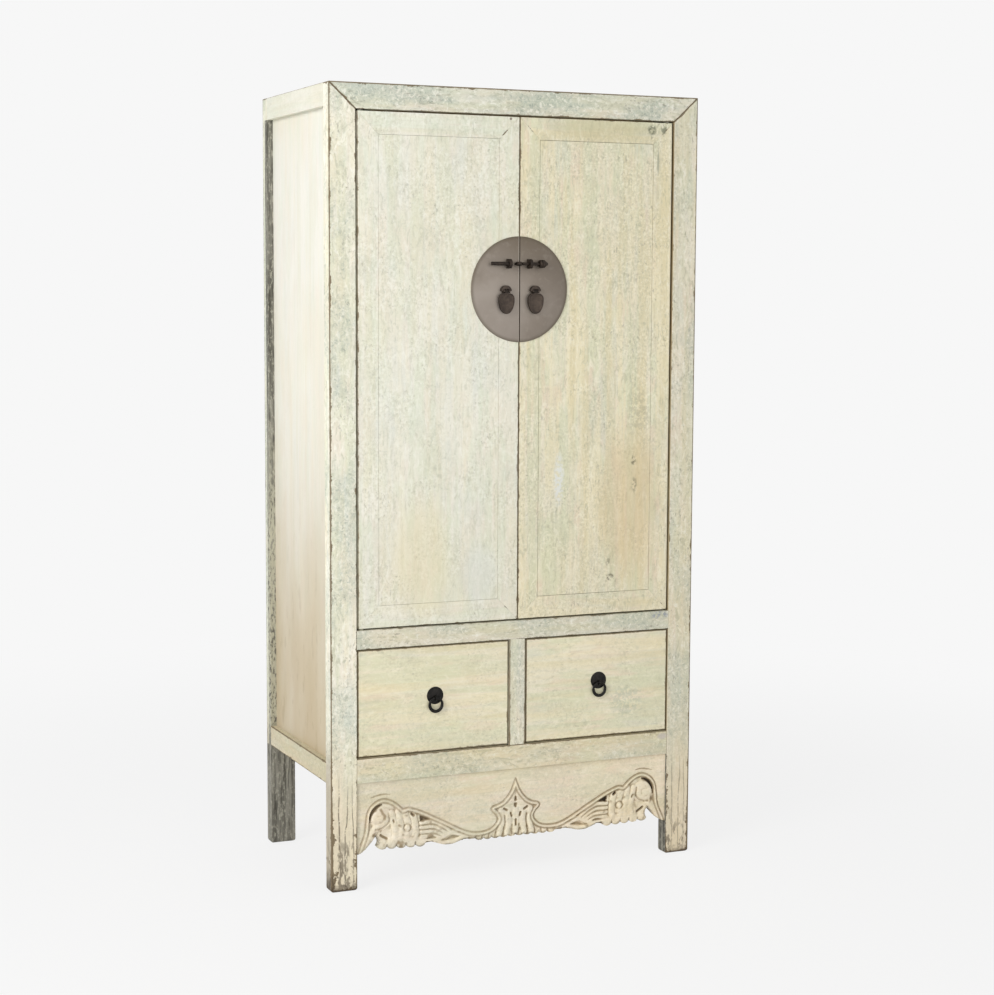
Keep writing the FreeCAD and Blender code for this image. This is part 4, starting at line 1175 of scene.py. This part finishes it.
def carve_flower(carving):
    """The curled petals beside the scroll, with a ball among them."""
    carving.pillow([(326, 182), (300, 180), (280, 176), (263, 166), (258, 146), (256, 122), (262, 106),
                    (286, 102), (314, 104), (334, 112), (330, 132), (326, 156)], -0.6, 14)
    for petal in (
        [(326, 178), (321, 156), (316, 134), (319, 110)],
        [(308, 180), (305, 158), (301, 132), (307, 107)],
        [(292, 176), (287, 160), (284, 150)],
        [(288, 127), (289, 106)],
        [(270, 166), (265, 146), (263, 124), (269, 105)],
    ):
        carving.ridge(petal, 8.5, 2.3)
    round_ball = [(296, 138), (291, 146), (282, 147), (276, 140), (279, 131), (288, 129), (296, 138)]
    carving.groove(round_ball, 2.6, 2.4, 0.3)
    carving.dome((286, 138), 6.5, 3.0)
    carving.groove([(322, 161), (320, 156)], 2.8, 4.0, 0.6)
    carving.groove([(274, 171), (269, 167)], 3.6, 8.0, 1.0)


def carve_leaves(carving):
    """The ribbed leaf and the twisted ribbon, with their cuts."""
    carving.pillow([(250, 147), (226, 150), (202, 142), (183, 126), (176, 112), (196, 104), (225, 102),
                    (248, 106)], -0.4, 8)
    for rib in (
        [(250, 146), (222, 147), (198, 136), (176, 120)],
        [(250, 135), (218, 134), (194, 122), (180, 113)],
        [(249, 124), (216, 122), (194, 112)],
        [(248, 112), (218, 113), (200, 106)],
    ):
        carving.ridge(rib, 5.4, 2.2)
    for furrow in (
        [(250, 140), (220, 140), (196, 129), (178, 117)],
        [(250, 129), (217, 128), (194, 117)],
        [(249, 118), (217, 117), (197, 109)],
    ):
        carving.groove(furrow, 3.4, 1.2, 0.42, taper=True)
    carving.ridge([(246, 101), (213, 100), (190, 107), (172, 116), (154, 119)], 5.5, 2.4)
    carving.ridge([(208, 96), (187, 91.5), (168, 91.5), (150, 97), (132, 104), (112, 101)], 5.5, 2.0)
    carving.ridge([(172, 114), (150, 108), (130, 100)], 5, 2.2)
    carving.groove([(184, 98), (168, 103), (152, 103)], 5.2, 3.4, 0.42, taper=True)
    carving.groove([(234, 107), (222, 108), (210, 107)], 4.0, 3.4, 0.45, taper=True)
    carving.groove([(252, 151), (240, 155), (230, 153)], 3.4, 3.0, 0.5, taper=True)
    carving.pit([(226, 152), (240, 160), (253, 165), (251, 149), (238, 151)], 9.0)
    carving.groove([(236, 98), (221, 97)], 3.2, 5.0, 0.85)


def carve_lobes(carving):
    """The row of round lobes under the petals."""
    pitch = (LOBE_START[0] - LOBE_END[0]) / LOBE_COUNT
    for index in range(LOBE_COUNT):
        x = LOBE_START[0] - pitch * (index + 0.5)
        carving.dome((x, 100), 15, 1.2)
    for index in range(1, LOBE_COUNT):
        x = LOBE_START[0] - pitch * index
        carving.groove([(x, 88), (x, 103)], 3.2, 2.2, 0.3, taper=True)


def carve_crest(carving):
    """The pointed crest in the middle: teardrop cuts above short flutes."""
    carving.pillow([(0, 214), (12, 192), (28, 172), (46, 160), (45, 146), (37, 134), (40, 116), (20, 112),
                    (0, 112)], 0.6, 7)
    for petal in ([(0, 156), (0, 102)], [(19, 142), (20, 120), (24, 98)], [(40, 152), (37, 126), (44, 98)]):
        carving.ridge(petal, 7.5, 2.2)
    for cut in (
        [(0, 186), (1, 179)], [(2, 169), (0, 163)], [(31, 160), (23, 155)], [(13, 147), (11, 140)],
        [(0, 130), (0, 117)],
    ):
        carving.groove(cut, 3.4, 5.5, 0.72)
    carving.groove([(30, 142), (28, 126), (32, 108)], 3.2, 2.4, 0.25)
    carving.groove([(9, 118), (10, 104), (9, 94)], 3.0, 2.4, 0.3)
    for x, top in ((33, 104), (54, 106), (72, 104), (90, 102)):
        carving.groove([(x, 90), (x * 0.95, top)], 3.2, 2.4, 0.25, taper=True)


def soften(sheet, sizes):
    """A sheet of numbers blurred over a few cells, to tell hollows from high places."""
    reach = 6
    spread = 2.4
    weight = np.exp(-(np.arange(-reach, reach + 1) / spread) ** 2 / 2)
    weight /= weight.sum()
    grid = sheet.reshape(sizes)
    for axis in (0, 1):
        pads = [(reach, reach) if axis == side else (0, 0) for side in (0, 1)]
        padded = np.pad(grid, pads, mode="edge")
        grid = np.apply_along_axis(lambda line: np.convolve(line, weight, "valid"), axis, padded)
    return grid.ravel()


def age_carving(carving, carved, x, sizes):
    """The heights with chisel marks in them, how much painted shade and dirt each place gets, and how much
    painted highlight and pale patching.
    """
    chisel = soften(np.random.default_rng(11).standard_normal(x.size), sizes)
    height = np.clip(carving.height + carved * chisel * 0.4 / chisel.std(), -10, APRON_RELIEF / MM)
    hollow = soften(height, sizes) - height
    # Hollows and cuts get painted shade and dirt.
    shade_and_dirt = np.clip(np.maximum(np.minimum(hollow * 0.3, 0.48), carving.cut), 0, 1)
    shade_and_dirt = np.where(x < 0, shade_and_dirt * 0.8, shade_and_dirt)
    # Raised places get a painted highlight.
    highlight_and_pale_patches = np.clip(-hollow * 0.5, 0, 1) * carved
    smudge = soften(np.random.default_rng(5).standard_normal(x.size), sizes)
    smudge *= carved * np.clip(np.abs(x) / 300, 0.3, 1) / smudge.std()
    shade_and_dirt = np.clip(np.maximum(shade_and_dirt, (smudge - 0.7) * 0.34), 0, 1)
    highlight_and_pale_patches = np.clip(np.maximum(highlight_and_pale_patches, (-0.7 - smudge) * 0.9), 0, 1)
    return height, shade_and_dirt, highlight_and_pale_patches


def trim_sheet(piece, whole, back_y):
    """Deletes the faces that are not whole and carries the rest back to a flat rear face."""
    clear_choice(piece, "FACE")
    piece.data.polygons.foreach_set("select", ~whole)
    bpy.ops.object.mode_set(mode="EDIT")
    bpy.ops.mesh.delete(type="FACE")
    bpy.ops.mesh.select_mode(type="EDGE")
    bpy.ops.mesh.select_all(action="DESELECT")
    bpy.ops.mesh.select_non_manifold()
    bpy.ops.mesh.extrude_edges_move(TRANSFORM_OT_translate={"value": (0, APRON_THICKNESS, 0)})
    bpy.ops.transform.resize(value=(1, 0, 1), center_override=(0, back_y, 0))
    bpy.ops.mesh.edge_face_add()
    bpy.ops.mesh.select_mode(type="VERT")
    close_mesh(outward=True)


def make_apron():
    """The carved apron: a fine sheet worked into relief, trimmed to its outline and given its thickness."""
    low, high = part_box("apron")
    across = round((high.x - low.x) / APRON_CELL)
    upward = round((high.z - low.z) / APRON_CELL)
    bpy.ops.object.select_all(action="DESELECT")
    bpy.ops.mesh.primitive_grid_add(x_subdivisions=across, y_subdivisions=upward, size=1)
    piece = settle(bpy.context.object, "apron_carved")
    flat = np.empty(len(piece.data.vertices) * 3)
    piece.data.vertices.foreach_get("co", flat)
    flat = flat.reshape(-1, 3)
    x = (low.x + (flat[:, 0] + 0.5) * (high.x - low.x)) / MM
    z = (low.z + (flat[:, 1] + 0.5) * (high.z - low.z)) / MM

    edge = apron_edge()
    carving = Carving(x, z)
    carved = carve_bead(carving, edge)
    for carve in (carve_scroll, carve_flower, carve_leaves, carve_lobes, carve_crest):
        carve(carving)
    height, shade_and_dirt, highlight_and_pale_patches = age_carving(carving, carved, x, (upward + 1, across + 1))

    beyond_x = high.x / MM + 1
    beyond_z = high.z / MM + 1
    outline = np.vstack([edge, [(0, beyond_z), (beyond_x, beyond_z), (beyond_x, 85)]])
    inside = within(outline, carving.x, carving.z)
    distance, spot_x, spot_z, _ = nearest(edge, carving.x, carving.z)
    close = distance < APRON_CELL / MM * 0.6
    # Nearness to the lower edge, which gets grey painted shade.
    rim = np.clip(1 - distance / 5, 0, 1)
    x = np.where(close, np.sign(x) * spot_x, x)
    z = np.where(close, spot_z, z)
    face_y = high.y - APRON_THICKNESS
    places = np.column_stack([x * MM, face_y - height * MM, z * MM])
    piece.data.vertices.foreach_set("co", places.ravel())
    # The relief holds painted shade and dirt, painted highlight, and the lower edge's painted shade.
    layer = piece.data.attributes.new("relief", "FLOAT_VECTOR", "POINT")
    layer.data.foreach_set("vector", np.column_stack([shade_and_dirt, highlight_and_pale_patches, rim]).ravel())

    corners = np.empty(len(piece.data.loops), int)
    piece.data.loops.foreach_get("vertex_index", corners)
    corners = corners.reshape(-1, 4)
    middles = places[corners].mean(axis=1) / MM
    whole = (inside | close)[corners].all(axis=1)
    whole &= within(outline, np.abs(middles[:, 0]), middles[:, 2])
    trim_sheet(piece, whole, high.y)
    dress(piece, CARVED, 55, "carcass", "apron")


def eased_copy(node, body, material, width):
    """A copy of a CAD node with its seams merged and its sharp edges rounded."""
    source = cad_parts[node]
    piece = bpy.data.objects.new(node + "_piece", source.data.copy())
    piece.data.transform(source.matrix_world)
    bpy.context.scene.collection.objects.link(piece)
    open_mesh(piece)
    bpy.ops.mesh.remove_doubles(threshold=0.01 * MM)
    bpy.ops.mesh.dissolve_limited(angle_limit=math.radians(1))
    close_mesh(outward=True)
    ease(piece, width, 2, 40)
    return dress(piece, material, 40, body, node)


def make_lock_plate():
    """The round plate in two halves, each with a rolled rim."""
    for side, word in SIDES:
        node = "lock_plate_" + word
        low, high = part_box(node)
        thick = high.y - low.y
        radius = max(abs(low.x), abs(high.x))
        gap = min(abs(low.x), abs(high.x))
        middle = Vector((0, high.y, (low.z + high.z) / 2))
        rim = 1.6 * MM
        shoulder = (thick * 0.85, radius - rim * 0.4)
        profile = [(0, radius), (thick * 0.45, radius), shoulder, (thick, radius - rim)]
        piece = turned(node + "_disc", middle, -DEEP, profile, 160)
        saw(piece, Vector((gap * side, 0, 0)), Vector((-side, 0, 0)))
        ease(piece, 0.35 * MM, 2, 60)
        dress(piece, PLATE, 50, "door_" + word, node)


def make_lock_pin():
    """The sliding pin: a round rod, a waisted neck and a pointed head."""
    low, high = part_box("lock_pin")
    axis_z = (low.z + high.z) / 2
    axis_y = (low.y + high.y) / 2
    length = high.x - low.x
    head = length - 22.5 * MM
    rod = 3.4 * MM
    big = 9.5 * MM
    profile = [
        (0, rod * 0.7), (0.8 * MM, rod), (head, rod), (head + 0.1 * MM, big * 0.86), (head + 1.2 * MM, big),
        (head + 4.2 * MM, big), (head + 5.0 * MM, big * 0.86), (head + 6.2 * MM, big * 0.86),
        (head + 7.0 * MM, big), (head + 12.4 * MM, big), (head + 15 * MM, big * 0.84),
        (length - 3.5 * MM, big * 0.5), (length - 1 * MM, big * 0.36), (length, big * 0.2),
    ]
    piece = turned("lock_pin_turned", (low.x, axis_y, axis_z), ACROSS, profile, 32)
    dress(piece, BRASS, 40, "lock_pin", "lock_pin")


def egg_tag(name, low, high, belly, crown):
    """The egg-shaped tag of a drop pull, widest at its belly, with its crown so far above that."""
    middle_x = (low.x + high.x) / 2
    half = (high.x - low.x) / 2 * 0.96
    fullness = 0.72
    bpy.ops.object.select_all(action="DESELECT")
    bpy.ops.mesh.primitive_circle_add(
        vertices=56, radius=half, fill_type="NGON", location=(middle_x, high.y, belly),
        rotation=(math.radians(90), 0, 0),
    )
    tag = settle(bpy.context.object, name)
    for point in tag.data.vertices:
        rise = (point.co.z - belly) / half
        aside = (point.co.x - middle_x) / half
        if rise > 0:
            point.co.x = middle_x + half * math.copysign(abs(aside) ** fullness, aside)
            point.co.z = belly + crown * rise ** fullness
        else:
            point.co.z = belly + (belly - low.z) * rise
    open_mesh(tag)
    bpy.ops.mesh.extrude_region_move(TRANSFORM_OT_translate={"value": (0, low.y - high.y, 0)})
    bpy.ops.mesh.inset(thickness=2.2 * MM, depth=0)
    bpy.ops.mesh.inset(thickness=0.8 * MM, depth=-0.7 * MM)
    close_mesh(outward=True)
    ease(tag, 0.8 * MM, 3, 50)
    cover(tag, BRASS)
    # Painted light: the front faces get the lighter brass, and the edges stay dark as painted shade.
    assign_faces(tag, PULL_FACE, lambda face: face.normal.y < -0.9)
    return tag


def make_drop_pulls():
    """The two drop pulls: thick egg-shaped tags that hang by a tab."""
    for _, word in SIDES:
        node = "drop_pull_" + word
        low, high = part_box(node)
        middle_x = (low.x + high.x) / 2
        thick = high.y - low.y
        pivot_z = high.z - thick / 2
        belly = low.z + 33.5 * MM
        crown = pivot_z - 4.8 * MM - belly
        tag = egg_tag(node + "_tag", low, high, belly, crown)
        tab_half = 4.4 * MM
        root = Vector((middle_x - tab_half, (low.y + high.y) / 2, pivot_z))
        knuckle = turned(node + "_knuckle", root, ACROSS, [(0, thick / 2), (2 * tab_half, thick / 2)], 24)
        tab = block(
            node + "_tab", (middle_x - tab_half, low.y + 0.8 * MM, belly + crown - 4 * MM),
            (middle_x + tab_half, high.y - 0.8 * MM, pivot_z),
        )
        for extra in (knuckle, tab):
            ease(extra, 0.5 * MM)
            cover(extra, BRASS)
        piece = join(node + "_piece", knuckle, tab, tag)
        smooth(piece, 45)
        hand_over(piece, "pull_" + word, node)


def make_pull_eyes():
    """The arched bosses, with the ears and cross pins that the drop pulls hang on."""
    for _, word in SIDES:
        piece = eased_copy("pull_eye_" + word, "door_" + word, BRASS, 0.7 * MM)
        # Painted light: the front faces get the lighter brass, and the edges stay dark as painted shade.
        assign_faces(piece, PULL_FACE, lambda face: face.normal.y < -0.9)


def make_ring_pulls():
    """The domed plates, the eyes and the rings of the drawers."""
    for _, word in SIDES:
        body = "drawer_" + word
        low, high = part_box("ring_plate_" + word)
        middle = Vector(((low.x + high.x) / 2, high.y, (low.z + high.z) / 2))
        radius = (high.x - low.x) / 2
        rise = high.y - low.y
        foot = rise * 0.3
        profile = [(0, radius), (rise * 0.16, radius), (foot, radius * 0.95), (foot, radius * 0.84)]
        for share in (0.8, 0.66, 0.5, 0.32, 0.14):
            profile.append((rise * (0.3 + 0.7 * math.sqrt(1 - (share / 0.84) ** 2)), radius * share))
        plate = turned(f"ring_plate_{word}_dome", middle, -DEEP, profile, 48)
        dress(plate, IRON, 40, body, "ring_plate_" + word)
        eased_copy("ring_eye_" + word, body, IRON, 0.5 * MM)

        low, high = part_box("pull_ring_" + word)
        wire = (high.y - low.y) / 2
        turn = (high.x - low.x) / 2 - wire
        centre = Vector(((low.x + high.x) / 2, (low.y + high.y) / 2, (low.z + high.z) / 2))
        bpy.ops.object.select_all(action="DESELECT")
        bpy.ops.mesh.primitive_circle_add(
            vertices=16, radius=wire, location=centre + Vector((0, 0, turn)),
            rotation=(0, math.radians(90), 0),
        )
        ring = settle(bpy.context.object, f"pull_ring_{word}_wire")
        open_mesh(ring)
        bpy.ops.mesh.spin(steps=56, angle=math.tau, center=centre, axis=DEEP)
        bpy.ops.mesh.select_all(action="SELECT")
        bpy.ops.mesh.remove_doubles(threshold=0.02 * MM)
        close_mesh(outward=True)
        for point in ring.data.vertices:
            out = Vector((point.co.x - centre.x, 0, point.co.z - centre.z)).normalized()
            core = centre + out * turn
            swell = 0.45 * min(max((0.5 - out.z) / 0.7, 0.0), 1.0)
            aside = (point.co - core).dot(out)
            point.co += out * (aside - wire) * swell
        dress(ring, IRON, 60, "ring_" + word, "pull_ring_" + word)


WHITE = 0.93
CAMERA_PLACE = (-2.0059, -4.7169, 1.4266)
CAMERA_TURN = [math.radians(angle) for angle in (90 - 5.818, -0.25, -23.525)]
CAMERA_LENS = 73.71


def make_floor():
    """A pale floor that the camera sees as nearly even white, with the cabinet's shadow on it."""
    finish = Finish("pale_floor")
    path = finish.tree.nodes.new("ShaderNodeLightPath")
    seen = Value(finish, path.outputs["Is Camera Ray"])
    seen = seen.most(Value(finish, path.outputs["Is Glossy Ray"]))
    seen = seen.most(Value(finish, path.outputs["Is Transmission Ray"]))
    x, y, _ = finish.parts(finish.place())
    away = (x * x + y * y).math("SQRT").rise(0.9, 3.2)
    glow = finish.tree.nodes.new("ShaderNodeEmission")
    glow.inputs["Color"].default_value = (WHITE, WHITE, WHITE, 1)
    blend = finish.tree.nodes.new("ShaderNodeMixShader")
    finish.tree.links.new((seen * (away * 0.12 + 0.88)).socket, blend.inputs[0])
    finish.tree.links.new(finish.shader.outputs[0], blend.inputs[1])
    finish.tree.links.new(glow.outputs[0], blend.inputs[2])
    finish.tree.links.new(blend.outputs[0], finish.tree.nodes["Material Output"].inputs["Surface"])
    finish.set(base_color=(WHITE, WHITE, WHITE, 1), roughness=0.9, specular=0.1)
    bpy.ops.object.select_all(action="DESELECT")
    bpy.ops.mesh.primitive_plane_add(size=60, location=(0, 0, 0))
    floor = settle(bpy.context.object, "floor")
    cover(floor, finish.material)


def make_sky():
    """Even light from all round, which the camera sees as white."""
    world = bpy.data.worlds.new("studio")
    bpy.context.scene.world = world
    world.use_nodes = True
    nodes = world.node_tree.nodes
    links = world.node_tree.links
    path = nodes.new("ShaderNodeLightPath")
    looked_at = nodes.new("ShaderNodeMath")
    looked_at.operation = "MAXIMUM"
    links.new(path.outputs["Is Camera Ray"], looked_at.inputs[0])
    links.new(path.outputs["Is Glossy Ray"], looked_at.inputs[1])
    back = nodes["Background"]
    back.inputs["Color"].default_value = (1, 1, 1, 1)
    strength = nodes.new("ShaderNodeMapRange")
    strength.inputs["To Min"].default_value = 0.5
    strength.inputs["To Max"].default_value = WHITE
    links.new(looked_at.outputs[0], strength.inputs["Value"])
    links.new(strength.outputs[0], back.inputs["Strength"])


def make_lamp(name, place, aim, size, power, colour):
    """A round lamp that faces a place."""
    data = bpy.data.lights.new(name, "AREA")
    data.shape = "DISK"
    data.size = size
    data.energy = power
    data.color = colour
    holder = bpy.data.objects.new(name, data)
    holder.location = place
    holder.rotation_euler = (Vector(aim) - Vector(place)).to_track_quat("-Z", "Y").to_euler()
    bpy.context.scene.collection.objects.link(holder)


def make_camera():
    """The camera where the photographer stood."""
    data = bpy.data.cameras.new("camera")
    data.sensor_fit = "HORIZONTAL"
    data.sensor_width = 36
    data.lens = CAMERA_LENS
    camera = bpy.data.objects.new("camera", data)
    camera.location = CAMERA_PLACE
    camera.rotation_euler = CAMERA_TURN
    bpy.context.scene.collection.objects.link(camera)
    bpy.context.scene.camera = camera
    bpy.context.scene.view_settings.view_transform = "Standard"


make_frame()
make_panels()
make_doors()
make_drawers()
finish_inside()
make_apron()
make_lock_plate()
make_lock_pin()
eased_copy("lock_keeper", "door_left", BRASS, 0.6 * MM)
eased_copy("lock_guide", "door_right", BRASS, 0.6 * MM)
make_drop_pulls()
make_pull_eyes()
make_ring_pulls()
make_floor()
make_sky()
make_lamp("soft_key", (-3.9, -2.2, 2.6), (0, 0, 1.1), 2.6, 140, (1.0, 0.99, 0.97))
make_lamp("soft_fill", (1.2, -4.6, 1.6), (0, 0, 0.9), 3.0, 24, (1.0, 0.98, 0.95))
make_camera()
